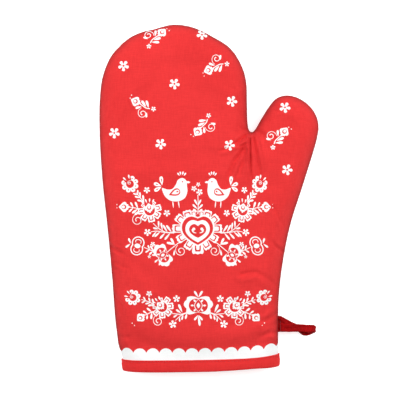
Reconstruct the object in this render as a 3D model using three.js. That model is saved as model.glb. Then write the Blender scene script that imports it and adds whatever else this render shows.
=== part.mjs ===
// Padded oven mitt lying on its palm, as a three.js scene graph in millimetres.
// +Z is up, the fingers point towards +Y and the thumb towards +X. The mouth is at -Y.
// Every layer is its own closed solid: two outer panels, two layers of batting and two
// lining panels, all nested inside one outline, with a binding round the mouth, a hanging
// loop sewn into the side seam, and the sewing threads.
import * as THREE from 'three';

// The layers of one side, from the outer face inwards, measured square to the fabric.
const CLEARANCE = 0.3;
const OUTER_THICKNESS = 0.8;
const BATTING_THICKNESS = 4;
const LINING_THICKNESS = 0.7;
const BINDING_THICKNESS = 0.8;
const THREAD_WIDTH = 0.4;

// Each side is a shallow dome that curves down to the seam within RIM of the outline.
const RIM = 14;
const RIM_STEPS = 3;
const DOME = 12;
const SEAM_HALF_GAP = 0.5;
const MID_HEIGHT = DOME + SEAM_HALF_GAP;

// Offsets of each layer's two faces below the outer face.
const OUTER = [0, OUTER_THICKNESS];
const BATTING = [OUTER[1] + CLEARANCE, OUTER[1] + CLEARANCE + BATTING_THICKNESS];
const LINING = [BATTING[1] + CLEARANCE, BATTING[1] + CLEARANCE + LINING_THICKNESS];

// The seam line above the cuff, from the left of the cuff round the fingers and the thumb.
const SAMPLES_PER_SPAN = 2;
const OUTLINE = [
  [-73.1, -118], [-75.9, -95], [-78.3, -62], [-81.8, -25], [-85.8, 12], [-88.1, 48],
  [-88.2, 77], [-85.6, 97.5], [-79.5, 114], [-69.5, 125.5], [-56, 134], [-41.5, 138.5],
  [-26, 139.9], [-10.5, 137.5], [4, 130.6], [16.5, 122.3], [25, 111], [29.8, 96],
  [30.9, 75], [31.3, 61], [32.4, 54.6], [34.2, 52.6], [36.6, 54.8], [40.2, 60.8],
  [47, 72], [54, 80.3], [63, 82.9], [74.8, 79.2], [84.5, 70], [88.3, 59.5], [87.2, 48],
  [83, 33], [75.8, 10], [66, -21], [60, -50], [56.8, -75], [55.9, -97], [56, -113.6],
];

// The cuff is straight rows below the outline. A row has its depth below the top of the
// cuff, the seam's x at either side and how full the dome is there.
const CUFF_ROWS = [
  { depth: 0, left: -73.1, right: 56, fullness: 1 },
  { depth: 10, left: -69.6, right: 55.9, fullness: 0.82 },
  { depth: 20.5, left: -68.5, right: 55.9, fullness: 0.82 },
];
const CUFF_TOP = { left: -118, middle: -118, right: -113.6 };

// The binding is a U that wraps the mouth's raw edges.
const BINDING_TOP = 12.5;
const BINDING_BOTTOM = 22;
const BINDING_ROUNDING = 1.6;
const BINDING_STITCH_DEPTH = 14.2;

// The hanging loop is one strip whose ends are sewn side by side into the seam. It droops
// from the seam to the surface under the mitt, and this is the middle of the strip, with
// heights measured from the seam.
const LOOP_WIDTH = 6.2;
const LOOP_THICKNESS = 1.2;
const LOOP_STEPS = 30;
const LOOP_ROUTE = [
  [57.3, -97.8, 0], [59, -97.9, -0.1], [62.5, -99.2, -3.2], [68, -101.6, -8.2],
  [74, -104, -11.2], [79.5, -105.4, -11.8], [84, -106, -10.9], [85.2, -106.1, -8.7],
  [83.4, -106, -6.6], [79, -105.7, -5.2], [72, -105.2, -3.2], [65, -104.7, -1.1],
  [60.5, -104.4, -0.1], [57.3, -104.4, 0],
];

// The bar tack is a zigzag across both ends of the loop.
const TACK_X = 58.6;
const TACK_HALF_WIDTH = 0.8;
const TACK_FROM = -95.4;
const TACK_TO = -106.8;
const TACK_STITCHES = 14;
const TACK_HEIGHT = LOOP_THICKNESS / 2 + CLEARANCE + THREAD_WIDTH / 2;

const COLOURS = { red: 0xe83434, batting: 0xf1ede4, lining: 0xe9e2d4, crimson: 0xa41a1b };

// A material for woven cotton or for the wadding.
function cloth(colour, roughness) {
  return new THREE.MeshStandardMaterial({ color: colour, roughness, metalness: 0 });
}

// An indexed geometry from vertices and triangles, turned so that its faces point out.
function closedGeometry(vertices, triangles) {
  let volume = 0;
  for (const [a, b, c] of triangles) {
    const cross = new THREE.Vector3().crossVectors(vertices[b], vertices[c]);
    volume += vertices[a].dot(cross);
  }
  const facing = volume > 0 ? triangles : triangles.map(([a, b, c]) => [a, c, b]);
  const geometry = new THREE.BufferGeometry().setFromPoints(vertices);
  geometry.setIndex(facing.flat());
  geometry.computeVertexNormals();
  return geometry;
}

// Two triangles for each side of a strip between two rows of vertex numbers.
function strip(first, second) {
  const triangles = [];
  for (let i = 0; i + 1 < first.length; i += 1) {
    triangles.push([first[i], second[i], second[i + 1]]);
    triangles.push([first[i], second[i + 1], first[i + 1]]);
  }
  return triangles;
}

// The seam line as samples with an inward direction, from the left of the mouth to the
// right of the mouth. The inward direction of a cuff sample is level, so that the mouth
// stays straight.
function seamSamples() {
  const points = OUTLINE.map(([x, y]) => new THREE.Vector3(x, y, 0));
  const curve = new THREE.CatmullRomCurve3(points, false, 'centripetal');
  const count = (OUTLINE.length - 1) * SAMPLES_PER_SPAN;
  const samples = [];
  for (let i = 0; i <= count; i += 1) {
    const at = curve.getPoint(i / count);
    const along = curve.getTangent(i / count);
    samples.push({ x: at.x, y: at.y, inX: along.y, inY: -along.x, fullness: 1 });
  }
  const [top, ...lower] = CUFF_ROWS;
  Object.assign(samples[0], { x: top.left, inX: 1, inY: 0 });
  Object.assign(samples.at(-1), { x: top.right, inX: -1, inY: 0 });
  for (const row of lower) {
    samples.unshift(cuffSample(row, 'left', 1));
    samples.push(cuffSample(row, 'right', -1));
  }
  return samples;
}

function cuffSample(row, end, inX) {
  const { fullness } = row;
  return { x: row[end], y: CUFF_TOP[end] - row.depth, inX, inY: 0, fullness };
}

// A point of the dome whose face lies offset below the outer face. The angle runs from
// 0 at the seam to a right angle at the flat top, and side is 1 for the back of the hand
// and -1 for the palm.
function domePoint(sample, offset, angle, side) {
  const inset = offset + (RIM - offset) * (1 - Math.cos(angle));
  const rise = (DOME - offset) * Math.sin(angle) * sample.fullness;
  const z = side * (SEAM_HALF_GAP + rise);
  return new THREE.Vector3(sample.x + sample.inX * inset, sample.y + sample.inY * inset, z);
}

// The point of a face half-way across the cuff, at one of its rows.
function cuffMiddle(row, offset, side) {
  const x = (row.left + row.right) / 2;
  const rise = (DOME - offset) * row.fullness;
  return new THREE.Vector3(x, CUFF_TOP.middle - row.depth, side * (SEAM_HALF_GAP + rise));
}

// One face of a layer: its vertices from a first number, its triangles and its border.
function domeFace(samples, offset, side, start) {
  const vertices = [];
  const columns = samples.map((sample) => {
    const column = [];
    for (let step = 0; step <= RIM_STEPS; step += 1) {
      column.push(start + vertices.length);
      vertices.push(domePoint(sample, offset, (step / RIM_STEPS) * (Math.PI / 2), side));
    }
    return column;
  });
  const middles = CUFF_ROWS.map((row) => {
    vertices.push(cuffMiddle(row, offset, side));
    return start + vertices.length - 1;
  });
  const triangles = [];
  for (let i = 0; i + 1 < columns.length; i += 1) {
    triangles.push(...strip(columns[i], columns[i + 1]));
  }
  triangles.push(...flatTop(columns, middles, vertices, start));
  const mouth = [...columns[0], middles.at(-1), ...columns.at(-1).toReversed()];
  return { vertices, triangles, seam: columns.map((column) => column[0]), mouth };
}

// The flat top of a face: one polygon above the cuff, and two panels in each cuff row.
function flatTop(columns, middles, vertices, start) {
  const tops = columns.map((column) => column.at(-1));
  const rows = CUFF_ROWS.length - 1;
  const rim = [...tops.slice(rows, tops.length - rows), middles[0]];
  const contour = rim.map((number) => vertices[number - start]);
  const flat = contour.map((point) => new THREE.Vector2(point.x, point.y));
  const triangles = THREE.ShapeUtils.triangulateShape(flat, [])
    .map((corners) => corners.map((corner) => rim[corner]))
    .map((corners) => facingLike(corners, vertices, start));
  for (let row = 0; row < rows; row += 1) {
    const upper = [tops[rows - row], middles[row], tops[tops.length - 1 - rows + row]];
    const lower = [tops[rows - row - 1], middles[row + 1], tops[tops.length - rows + row]];
    triangles.push(...strip(lower, upper).map((corners) => facingLike(corners, vertices, start)));
  }
  return triangles;
}

// The rim's strips run clockwise seen from above, so the flat top's triangles do too.
function facingLike([a, b, c], vertices, start) {
  const [p, q, r] = [a, b, c].map((number) => vertices[number - start]);
  const turn = (q.x - p.x) * (r.y - p.y) - (q.y - p.y) * (r.x - p.x);
  return turn < 0 ? [a, b, c] : [a, c, b];
}

// A layer of one side: two faces, joined along the seam and along the mouth.
function layerGeometry(samples, [near, far], side) {
  const outer = domeFace(samples, near, side, 0);
  const inner = domeFace(samples, far, side, outer.vertices.length);
  const triangles = [
    ...outer.triangles,
    ...inner.triangles.map(([a, b, c]) => [a, c, b]),
    ...strip(outer.seam, inner.seam),
    ...strip(inner.mouth, outer.mouth),
  ];
  return closedGeometry([...outer.vertices, ...inner.vertices], triangles);
}

// A seam's thread: a square section along the seam line, half-way through a layer.
function seamThreadGeometry(samples, [near, far]) {
  const middle = (near + far) / 2;
  const half = THREAD_WIDTH / 2;
  const corners = [[-half, -half], [half, -half], [half, half], [-half, half]];
  const rings = samples.map((sample) => corners.map(([across, z]) => {
    const inset = middle + across;
    return new THREE.Vector3(sample.x + sample.inX * inset, sample.y + sample.inY * inset, z);
  }));
  return sweptGeometry(rings, false);
}

// A closed body through rings of the same number of points, either a closed ring itself
// or a rod with flat ends.
function sweptGeometry(rings, closed) {
  const size = rings[0].length;
  const numbers = rings.map((ring, i) => ring.map((_, j) => i * size + j));
  const triangles = [];
  const last = closed ? rings.length : rings.length - 1;
  for (let i = 0; i < last; i += 1) {
    const [here, next] = [numbers[i], numbers[(i + 1) % rings.length]];
    triangles.push(...strip([...here, here[0]], [...next, next[0]]));
  }
  if (!closed) {
    for (let j = 1; j + 1 < size; j += 1) {
      triangles.push([numbers[0][0], numbers[0][j], numbers[0][j + 1]]);
      triangles.push([numbers.at(-1)[0], numbers.at(-1)[j + 1], numbers.at(-1)[j]]);
    }
  }
  return closedGeometry(rings.flat(), triangles);
}

// The seam's x at one side of the cuff, at any depth in the straight part by the mouth.
function cuffX(end, depth) {
  const [, upper, lower] = CUFF_ROWS;
  const share = (depth - upper.depth) / (lower.depth - upper.depth);
  return THREE.MathUtils.lerp(upper[end], lower[end], share);
}

// A point of the ring round the mouth, at a depth below the top of the cuff.
function mouthPoint({ end, angle, side }, offset, depth) {
  const fullness = CUFF_ROWS.at(-1).fullness;
  if (end === 'middle') {
    const row = { left: cuffX('left', depth), right: cuffX('right', depth), depth, fullness };
    return cuffMiddle(row, offset, side);
  }
  const sample = cuffSample({ [end]: cuffX(end, depth), depth, fullness }, end, 1);
  sample.inX = end === 'left' ? 1 : -1;
  return domePoint(sample, offset, angle, side);
}

// A closed ring round the mouth whose section is a profile of offsets and depths.
function mouthRingGeometry(profile) {
  const angles = Array.from({ length: RIM_STEPS + 1 }, (_, i) => (i / RIM_STEPS) * (Math.PI / 2));
  const halfWay = (side) => [
    ...angles.map((angle) => ({ end: 'left', angle, side })),
    { end: 'middle', side },
    ...angles.toReversed().map((angle) => ({ end: 'right', angle, side })),
  ];
  const stations = [...halfWay(1), ...halfWay(-1).toReversed()];
  const ring = (station) => profile.map(([offset, depth]) => mouthPoint(station, offset, depth));
  return sweptGeometry(stations.map(ring), true);
}

// The binding's section: a leg outside the outer panel, a leg inside the lining and a
// rounded fold below the layers' ends.
function bindingGeometry() {
  const outside = -CLEARANCE - BINDING_THICKNESS;
  const inside = LINING[1] + CLEARANCE + BINDING_THICKNESS;
  const foldTop = CUFF_ROWS.at(-1).depth + CLEARANCE;
  const rounded = BINDING_BOTTOM - BINDING_ROUNDING;
  return mouthRingGeometry([
    [outside, BINDING_TOP],
    [outside, rounded],
    [outside + BINDING_ROUNDING, BINDING_BOTTOM],
    [inside - BINDING_ROUNDING, BINDING_BOTTOM],
    [inside, rounded],
    [inside, BINDING_TOP],
    [inside - BINDING_THICKNESS, BINDING_TOP],
    [inside - BINDING_THICKNESS, foldTop],
    [-CLEARANCE, foldTop],
    [-CLEARANCE, BINDING_TOP],
  ]);
}

// The thread that holds the binding, round the outside of the mouth.
function bindingThreadGeometry() {
  const middle = -2 * CLEARANCE - BINDING_THICKNESS - THREAD_WIDTH / 2;
  const half = THREAD_WIDTH / 2;
  return mouthRingGeometry([
    [middle - half, BINDING_STITCH_DEPTH - half],
    [middle - half, BINDING_STITCH_DEPTH + half],
    [middle + half, BINDING_STITCH_DEPTH + half],
    [middle + half, BINDING_STITCH_DEPTH - half],
  ]);
}

// A flat strip along a curve. Its width stays as close to the Y axis as the curve lets it.
function stripGeometry(curve, steps, width, thickness) {
  const rings = [];
  for (let i = 0; i <= steps; i += 1) {
    const at = curve.getPoint(i / steps);
    const along = curve.getTangent(i / steps);
    const across = new THREE.Vector3(0, 1, 0).addScaledVector(along, -along.y).normalize();
    const up = new THREE.Vector3().crossVectors(along, across);
    const corners = [[-1, -1], [1, -1], [1, 1], [-1, 1]];
    rings.push(corners.map(([w, t]) => at.clone()
      .addScaledVector(across, (w * width) / 2)
      .addScaledVector(up, (t * thickness) / 2)));
  }
  return sweptGeometry(rings, false);
}

function loopGeometry() {
  const points = LOOP_ROUTE.map((point) => new THREE.Vector3(...point));
  const curve = new THREE.CatmullRomCurve3(points, false, 'centripetal');
  return stripGeometry(curve, LOOP_STEPS, LOOP_WIDTH, LOOP_THICKNESS);
}

// The bar tack's thread, one zigzag from end to end. Its section is taken square to the
// row, so it is wider along X there than the thread is.
function tackGeometry() {
  const half = THREAD_WIDTH / 2;
  const pitch = (TACK_FROM - TACK_TO) / TACK_STITCHES;
  const wide = half * Math.hypot(1, (2 * TACK_HALF_WIDTH) / pitch);
  const corners = [[-wide, -half], [wide, -half], [wide, half], [-wide, half]];
  const rings = [];
  for (let i = 0; i <= TACK_STITCHES; i += 1) {
    const x = TACK_X + (i % 2 ? TACK_HALF_WIDTH : -TACK_HALF_WIDTH);
    const y = TACK_FROM - i * pitch;
    rings.push(corners.map(([dx, dz]) => new THREE.Vector3(x + dx, y, TACK_HEIGHT + dz)));
  }
  return sweptGeometry(rings, false);
}

const group = new THREE.Group();
group.position.z = MID_HEIGHT;

function addPiece(name, geometry, material) {
  const mesh = new THREE.Mesh(geometry, material);
  mesh.name = name;
  group.add(mesh);
}

const samples = seamSamples();
for (const [side, place] of [[1, 'back'], [-1, 'palm']]) {
  addPiece(`outer_${place}_panel`, layerGeometry(samples, OUTER, side), cloth(COLOURS.red, 0.85));
  addPiece(`batting_${place}`, layerGeometry(samples, BATTING, side), cloth(COLOURS.batting, 1));
  addPiece(`lining_${place}`, layerGeometry(samples, LINING, side), cloth(COLOURS.lining, 0.9));
}
addPiece('outer_seam_thread', seamThreadGeometry(samples, OUTER), cloth(COLOURS.red, 0.7));
addPiece('lining_seam_thread', seamThreadGeometry(samples, LINING), cloth(COLOURS.lining, 0.7));
addPiece('cuff_binding', bindingGeometry(), cloth(COLOURS.red, 0.85));
addPiece('binding_stitch_thread', bindingThreadGeometry(), cloth(COLOURS.red, 0.7));
addPiece('hanging_loop', loopGeometry(), cloth(COLOURS.crimson, 0.85));
addPiece('loop_tack_thread', tackGeometry(), cloth(COLOURS.crimson, 0.7));

export default group;
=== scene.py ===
"""A padded cotton oven mitt lying flat, with a white folk print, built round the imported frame.

Lengths are in millimetres in the row frame, and M turns them into metres. The seam lies in the
level plane at SEAM_Z, and the mitt's heights are measured from it.
"""
import math

import bpy
import numpy as np
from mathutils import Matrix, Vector, noise
from mathutils.bvhtree import BVHTree
from mathutils.geometry import delaunay_2d_cdt


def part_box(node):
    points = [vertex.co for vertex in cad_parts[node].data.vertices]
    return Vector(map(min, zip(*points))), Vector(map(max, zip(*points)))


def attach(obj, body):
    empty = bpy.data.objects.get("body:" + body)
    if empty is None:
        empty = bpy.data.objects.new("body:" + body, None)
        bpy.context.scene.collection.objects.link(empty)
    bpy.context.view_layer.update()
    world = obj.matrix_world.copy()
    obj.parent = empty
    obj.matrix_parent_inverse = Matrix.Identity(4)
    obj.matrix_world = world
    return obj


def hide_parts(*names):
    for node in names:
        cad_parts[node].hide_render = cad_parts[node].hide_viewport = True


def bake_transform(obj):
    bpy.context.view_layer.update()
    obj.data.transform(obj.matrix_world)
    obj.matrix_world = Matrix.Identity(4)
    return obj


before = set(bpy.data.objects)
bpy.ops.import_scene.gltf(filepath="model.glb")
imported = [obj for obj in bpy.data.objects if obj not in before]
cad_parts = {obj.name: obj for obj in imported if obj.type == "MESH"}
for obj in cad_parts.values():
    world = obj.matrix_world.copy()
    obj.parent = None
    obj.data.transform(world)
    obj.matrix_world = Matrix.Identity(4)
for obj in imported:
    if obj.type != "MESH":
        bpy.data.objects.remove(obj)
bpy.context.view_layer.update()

M = 0.001

# ---------------------------------------------------------------- sizes

SEAM_Z = (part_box("outer_seam_thread")[0].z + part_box("outer_seam_thread")[1].z) / 2 / M
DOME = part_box("outer_back_panel")[1].z / M - SEAM_Z

# The seam line above the cuff, from the left of the cuff round the fingers and the thumb.
OUTLINE = [
    (-73.1, -118), (-75.9, -95), (-78.3, -62), (-81.8, -25), (-85.8, 12), (-88.1, 48),
    (-88.2, 77), (-85.7, 97.5), (-79.4, 113.2), (-71.5, 122.6), (-63, 129.6), (-54.5, 133.4),
    (-43.5, 136.2), (-31, 139.4), (-21, 139.2), (-10.5, 136.6), (4, 129.4), (16.5, 121.2),
    (24.6, 110.2), (29.8, 96), (30.9, 75), (31.3, 61), (32.4, 54.6), (34.2, 52.6),
    (36.6, 54.8), (40.2, 60.8), (47, 72), (54, 80.3), (63, 82.9), (74.8, 79.2), (84.5, 70),
    (88.3, 59.5), (87.2, 48), (83, 33), (75.8, 10), (66, -21), (60, -50), (56.8, -75),
    (55.9, -97), (56, -113.6),
]
CROTCH = (34.2, 52.6)

# Below the outline the cuff is straight. Depth is measured down from the top of the cuff,
# which rises towards the right: CUFF_RISE is (x, rise), and the two sides are (depth, x).
# CUFF_FULLNESS is the cuff's height as a share of the mitt's, which it reaches between the
# depths in CUFF_THINS.
CUFF_TOP_Y = -118
CUFF_RISE = [(-45, 0), (-30, 0.1), (-15, 0.3), (0, 0.55), (17, 1.05), (28, 1.5), (36, 2.1),
             (43, 2.8), (50, 3.7), (56, 4.4)]
CUFF_FULLNESS = 0.82
CUFF_THINS = (-12, 10)
PANEL_DEPTH = 19.0
CUFF_LEFT = [(0, -73.1), (10, -69.8), (PANEL_DEPTH, -68.6)]
CUFF_RIGHT = [(0, 56), (10, 55.9), (PANEL_DEPTH, 55.9)]

# The cloth's thickness, the layers as offsets inward from the outer face and the least that
# they keep off the seam plane, how far inside the seam the inner layers start, half the gap
# between the panels at the seam, and the rings of the allowance that is turned in there.
FABRIC = 0.5
BATTING = (1.1, 5.1)
LINING = 5.5
BATTING_LEAST = (1.4, 0.95)
LINING_LEAST = 0.35
BATTING_INSET = 3.0
LINING_INSET = 6.2
SEAM_GAP = 0.15
ALLOWANCE = (1.0, 2.6, 4.6)

# The point of the seam plane that the camera looks straight down on.
VIEW_CENTRE = (-7.2, -1.6)

# How far in from the seam the filled mitt's edge stays rounded.
RIM = 18
TINY = 1e-9

# ---------------------------------------------------------------- lines and meshes


def smooth(value, low, high):
    """0 at low, 1 at high and a smooth step between, for numbers or arrays."""
    t = np.clip((np.asarray(value, float) - low) / (high - low), 0, 1)
    return t * t * (3 - 2 * t)


def spline(points, per_span=12, closed=False):
    """A centripetal Catmull-Rom curve through the points."""
    p = np.asarray(points, float)
    if closed:
        p = np.vstack([p[-1], p, p[:2]])
    else:
        p = np.vstack([2 * p[0] - p[1], p, 2 * p[-1] - p[-2]])
    out = []
    for a, b, c, d in zip(p[:-3], p[1:-2], p[2:-1], p[3:]):
        steps = [max(np.linalg.norm(v - u), TINY) ** 0.5 for u, v in ((a, b), (b, c), (c, d))]
        t0, t1, t2, t3 = np.cumsum([0, *steps])
        for s in np.linspace(t1, t2, per_span, endpoint=False):
            ab = a + (b - a) * (s - t0) / (t1 - t0)
            bc = b + (c - b) * (s - t1) / (t2 - t1)
            cd = c + (d - c) * (s - t2) / (t3 - t2)
            abc = ab + (bc - ab) * (s - t0) / (t2 - t0)
            bcd = bc + (cd - bc) * (s - t1) / (t3 - t1)
            out.append(abc + (bcd - abc) * (s - t1) / (t2 - t1))
    if not closed:
        out.append(p[-2])
    return np.array(out)


def lengths_along(line):
    """How far along a line each of its points is."""
    return np.concatenate([[0], np.cumsum(np.linalg.norm(np.diff(line, axis=0), axis=1))])


def resample(points, spacing):
    """The same line with points about spacing apart."""
    p = np.asarray(points, float)
    along = lengths_along(p)
    count = max(2, int(round(along[-1] / spacing)) + 1)
    at = np.linspace(0, along[-1], count)
    return np.stack([np.interp(at, along, p[:, k]) for k in range(p.shape[1])], axis=1)


def unit(vectors):
    """The vectors, each at length 1."""
    return vectors / np.maximum(np.linalg.norm(vectors, axis=1, keepdims=True), TINY)


def inward(line):
    """Unit vectors to the right of a plan line, which is into the mitt for its seam."""
    t = unit(np.gradient(np.asarray(line, float), axis=0))
    return np.stack([t[:, 1], -t[:, 0]], axis=1)


def between(at, rows):
    """What rows of (place, value) give at a place, along straight lines between them."""
    places, values = zip(*rows)
    return np.interp(at, places, values)


def inside(points, polygon):
    """Which points lie inside a polygon."""
    x, y = points[:, 0], points[:, 1]
    hit = np.zeros(len(points), bool)
    for (ax, ay), (bx, by) in zip(polygon, np.roll(polygon, -1, axis=0)):
        if ay != by:
            hit ^= ((ay > y) != (by > y)) & (x < (bx - ax) * (y - ay) / (by - ay) + ax)
    return hit


def from_line(points, line):
    """Each point's distance from an open line, positive on its right, and how far along the
    line, 0 to 1, its nearest place is."""
    lengths = np.linalg.norm(np.diff(line, axis=0), axis=1)
    starts = lengths_along(line)
    best = np.full(len(points), np.inf)
    share = np.zeros(len(points))
    side = np.ones(len(points))
    for i, length in enumerate(lengths):
        start, span = line[i], line[i + 1] - line[i]
        t = np.clip(((points - start) @ span) / max(length ** 2, 1e-12), 0, 1)
        away = points - (start + t[:, None] * span)
        gap = np.linalg.norm(away, axis=1)
        closer = gap < best
        best[closer] = gap[closer]
        share[closer] = ((starts[i] + t * length) / starts[-1])[closer]
        side[closer] = np.where(away @ np.array([span[1], -span[0]]) < 0, -1.0, 1.0)[closer]
    return best * side, share


def new_object(name, points, faces, material=None):
    """A smooth-shaded mesh object from points in millimetres in the row frame."""
    mesh = bpy.data.meshes.new(name)
    mesh.from_pydata([tuple(float(c) * M for c in p) for p in points], [],
                     [tuple(int(i) for i in f) for f in faces])
    mesh.validate()
    mesh.shade_smooth()
    obj = bpy.data.objects.new(name, mesh)
    bpy.context.scene.collection.objects.link(obj)
    if material:
        mesh.materials.append(material)
    return obj


def applied(obj):
    """obj with its modifiers made part of its mesh."""
    graph = bpy.context.evaluated_depsgraph_get()
    mesh = bpy.data.meshes.new_from_object(obj.evaluated_get(graph), depsgraph=graph)
    obj.modifiers.clear()
    obj.data = mesh
    return obj


def subdivided(obj):
    """obj with every face parted in four and smoothed once."""
    modifier = obj.modifiers.new("subdivide", "SUBSURF")
    modifier.levels = modifier.render_levels = 1
    return applied(obj)


def thickened(obj, thickness):
    """obj, an open sheet, as a closed one of this thickness behind its face."""
    modifier = obj.modifiers.new("thickness", "SOLIDIFY")
    modifier.thickness = thickness * M
    modifier.offset = -1
    return applied(obj)


def mesh_tree(obj):
    """A search tree of an object's mesh, in metres."""
    mesh = obj.data
    return BVHTree.FromPolygons([v.co.copy() for v in mesh.vertices],
                                [tuple(p.vertices) for p in mesh.polygons])


def quads(rows, columns, closed_rows=False, closed_columns=False):
    """The faces between neighbours in rows of points, numbered row by row. A closed way
    goes on from its last point to its first."""
    faces = []
    for r in range(rows if closed_rows else rows - 1):
        for c in range(columns if closed_columns else columns - 1):
            here, there = r * columns, (r + 1) % rows * columns
            ahead = (c + 1) % columns
            faces.append((here + c, here + ahead, there + ahead, there + c))
    return faces


def facing(faces, side):
    """Faces that look up as they are, turned over for the palm's side."""
    return faces if side > 0 else [f[::-1] for f in faces]


def merged(pieces):
    """Points and faces of several (points, faces) pairs as one mesh."""
    points, faces = [], []
    for some_points, some_faces in pieces:
        base = len(points)
        points.extend(some_points)
        faces.extend(tuple(base + i for i in f) for f in some_faces)
    return points, faces


def tube(path, radius, sides):
    """Points and faces of a tube along a path, with both ends closed."""
    p = np.asarray(path, float)
    t = unit(np.gradient(p, axis=0))
    up = np.tile([0.0, 0.0, 1.0], (len(p), 1))
    up[np.abs(t[:, 2]) > 0.95] = [1.0, 0.0, 0.0]
    u = unit(np.cross(t, up))
    v = np.cross(u, t)
    turns = np.linspace(0, 2 * math.pi, sides, endpoint=False)
    rings = (p[:, None] + radius * (np.cos(turns)[None, :, None] * u[:, None]
                                    + np.sin(turns)[None, :, None] * v[:, None]))
    points = list(rings.reshape(-1, 3))
    faces = quads(len(p), sides, False, True)
    faces.append(tuple(range(sides))[::-1])
    faces.append(tuple(range(len(points) - sides, len(points))))
    return points, faces


def rumple(x, y, scale, seed):
    """Smooth noise from -1 to 1 over the plan, with features about scale apart."""
    return np.array([noise.noise(Vector((a / scale, b / scale, seed))) for a, b in zip(x, y)])


def wander(along, scale, seed=0.0):
    """Smooth noise from -1 to 1 along a line."""
    return np.array([noise.noise(Vector((s / scale, seed, 0))) for s in along])


# ---------------------------------------------------------------- the flat pattern


def cuff_rise(x):
    """How much higher the cuff's lines sit at x than at the left."""
    return between(x, CUFF_RISE)


def cuff_depth(x, y):
    """How far a plan point is down the cuff, negative above it."""
    return CUFF_TOP_Y + cuff_rise(x) - y


def cuff_side(line, depth):
    """The x of one side seam of the cuff at a depth."""
    return between(depth, line)


def seam_line(inset=0.0, spacing=2.4):
    """The seam line, moved in by inset, from the mouth on the left to the mouth on the
    right."""
    left = [(x, CUFF_TOP_Y - d) for d, x in CUFF_LEFT[:0:-1]]
    right = [(x, CUFF_TOP_Y + cuff_rise(x) - d) for d, x in CUFF_RIGHT[1:]]
    line = resample(np.vstack([left, spline(OUTLINE), right]), spacing)
    line = line + inset * inward(line)
    for end in (0, -1):
        line[end, 1] = CUFF_TOP_Y - PANEL_DEPTH + cuff_rise(line[end, 0])
    return line


class Pattern:
    """A flat mesh of the mitt's outline, moved in from the seam by inset. Its points lie on
    rings inside the seam and on a grid, which is finer within a radius of the crotch."""

    def __init__(self, inset, spacing, rings, fine_radius):
        self.seam = seam_line(inset, 0.85 * spacing)
        count = int((self.seam[-1, 0] - self.seam[0, 0]) / spacing)
        x = np.linspace(self.seam[-1, 0], self.seam[0, 0], count + 1)[1:-1]
        mouth = np.stack([x, CUFF_TOP_Y - PANEL_DEPTH + cuff_rise(x)], axis=1)
        border = np.vstack([self.seam, mouth])
        points = np.vstack([border, self._middle(border, spacing, rings, fine_radius)])
        edges = [(i, (i + 1) % len(border)) for i in range(len(border))]
        flat, _, faces, *_ = delaunay_2d_cdt([Vector(p) for p in points], edges, [], 1, 1e-6)
        self.flat = np.array([tuple(p) for p in flat])
        self.faces = [self._upright(f) for f in faces]
        self.seam_ids = list(range(len(self.seam)))
        self.mouth_ids = [len(self.seam) - 1, *range(len(self.seam), len(border)), 0]
        self.to_seam = np.abs(from_line(self.flat, seam_line())[0])
        self.depth = cuff_depth(self.flat[:, 0], self.flat[:, 1])

    def _middle(self, border, spacing, rings, fine_radius):
        n = inward(self.seam)
        ringed = np.vstack([(self.seam + n * r)[2:-2] for r in rings])
        coarse, fine = self._grid(border, spacing), self._grid(border, spacing / 2)
        points = np.vstack([
            ringed,
            coarse[np.linalg.norm(coarse - CROTCH, axis=1) > fine_radius],
            fine[np.linalg.norm(fine - CROTCH, axis=1) <= fine_radius]])
        to_seam = np.abs(from_line(points, self.seam)[0])
        on_ring = np.arange(len(points)) < len(ringed)
        depth = cuff_depth(points[:, 0], points[:, 1])
        keep = inside(points, border) & (depth < PANEL_DEPTH - 0.6 * spacing)
        keep &= to_seam > np.where(on_ring, 0.6 * min(rings), max(rings) + 0.45 * spacing)
        return points[keep]

    @staticmethod
    def _grid(border, spacing):
        """A staggered grid over the whole border's box."""
        low, high = border.min(axis=0), border.max(axis=0)
        rows = np.arange(low[1] + spacing / 2, high[1], spacing * 0.866)
        return np.array([(x + (i % 2) * spacing / 2, y) for i, y in enumerate(rows)
                         for x in np.arange(low[0], high[0], spacing)])

    def _upright(self, face):
        a, b, c = (self.flat[i] for i in face)
        turn = (b[0] - a[0]) * (c[1] - a[1]) - (b[1] - a[1]) * (c[0] - a[0])
        return tuple(face) if turn > 0 else tuple(reversed(face))


PATTERN = Pattern(0, 2.9, rings=(0.9, 2.2), fine_radius=38)

# ---------------------------------------------------------------- filling the mitt

# The cloth is filled at ten times its size. Its two sides then keep under these heights.
SIM_SCALE = 10.0
SIM_FRAMES = 22
CLOTH = dict(
    quality=6, mass=0.4, tension_stiffness=40, compression_stiffness=30, shear_stiffness=20,
    bending_stiffness=1.0, tension_damping=14, compression_damping=14, bending_damping=2,
    air_damping=3, vertex_group_mass="held", shrink_min=-0.012, use_pressure=True,
    uniform_pressure_force=0.04)
HELD_FROM_DEPTH = 8
BACK_LIMIT = 13.8
PALM_LIMIT = 12.4

# The rounded edge is a superellipse with these two powers.
BULGE_POWERS = (2.3, 0.64)


def bulge(reach):
    """The rounded edge: 0 at the seam and 1 where the flat of the mitt starts."""
    inner, outer = BULGE_POWERS
    return (1 - (1 - np.clip(reach, 0, 1)) ** inner) ** outer


def layer_height(to_seam, offset):
    """A layer's height over the seam plane as a share of DOME, before the fullness."""
    return (DOME - offset) / DOME * bulge((to_seam - offset) / (RIM - offset))


def fullness(depth):
    """The height's share at a depth: the mitt is thinner where the binding holds the cuff."""
    return 1 - (1 - CUFF_FULLNESS) * smooth(depth, *CUFF_THINS)


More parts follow.
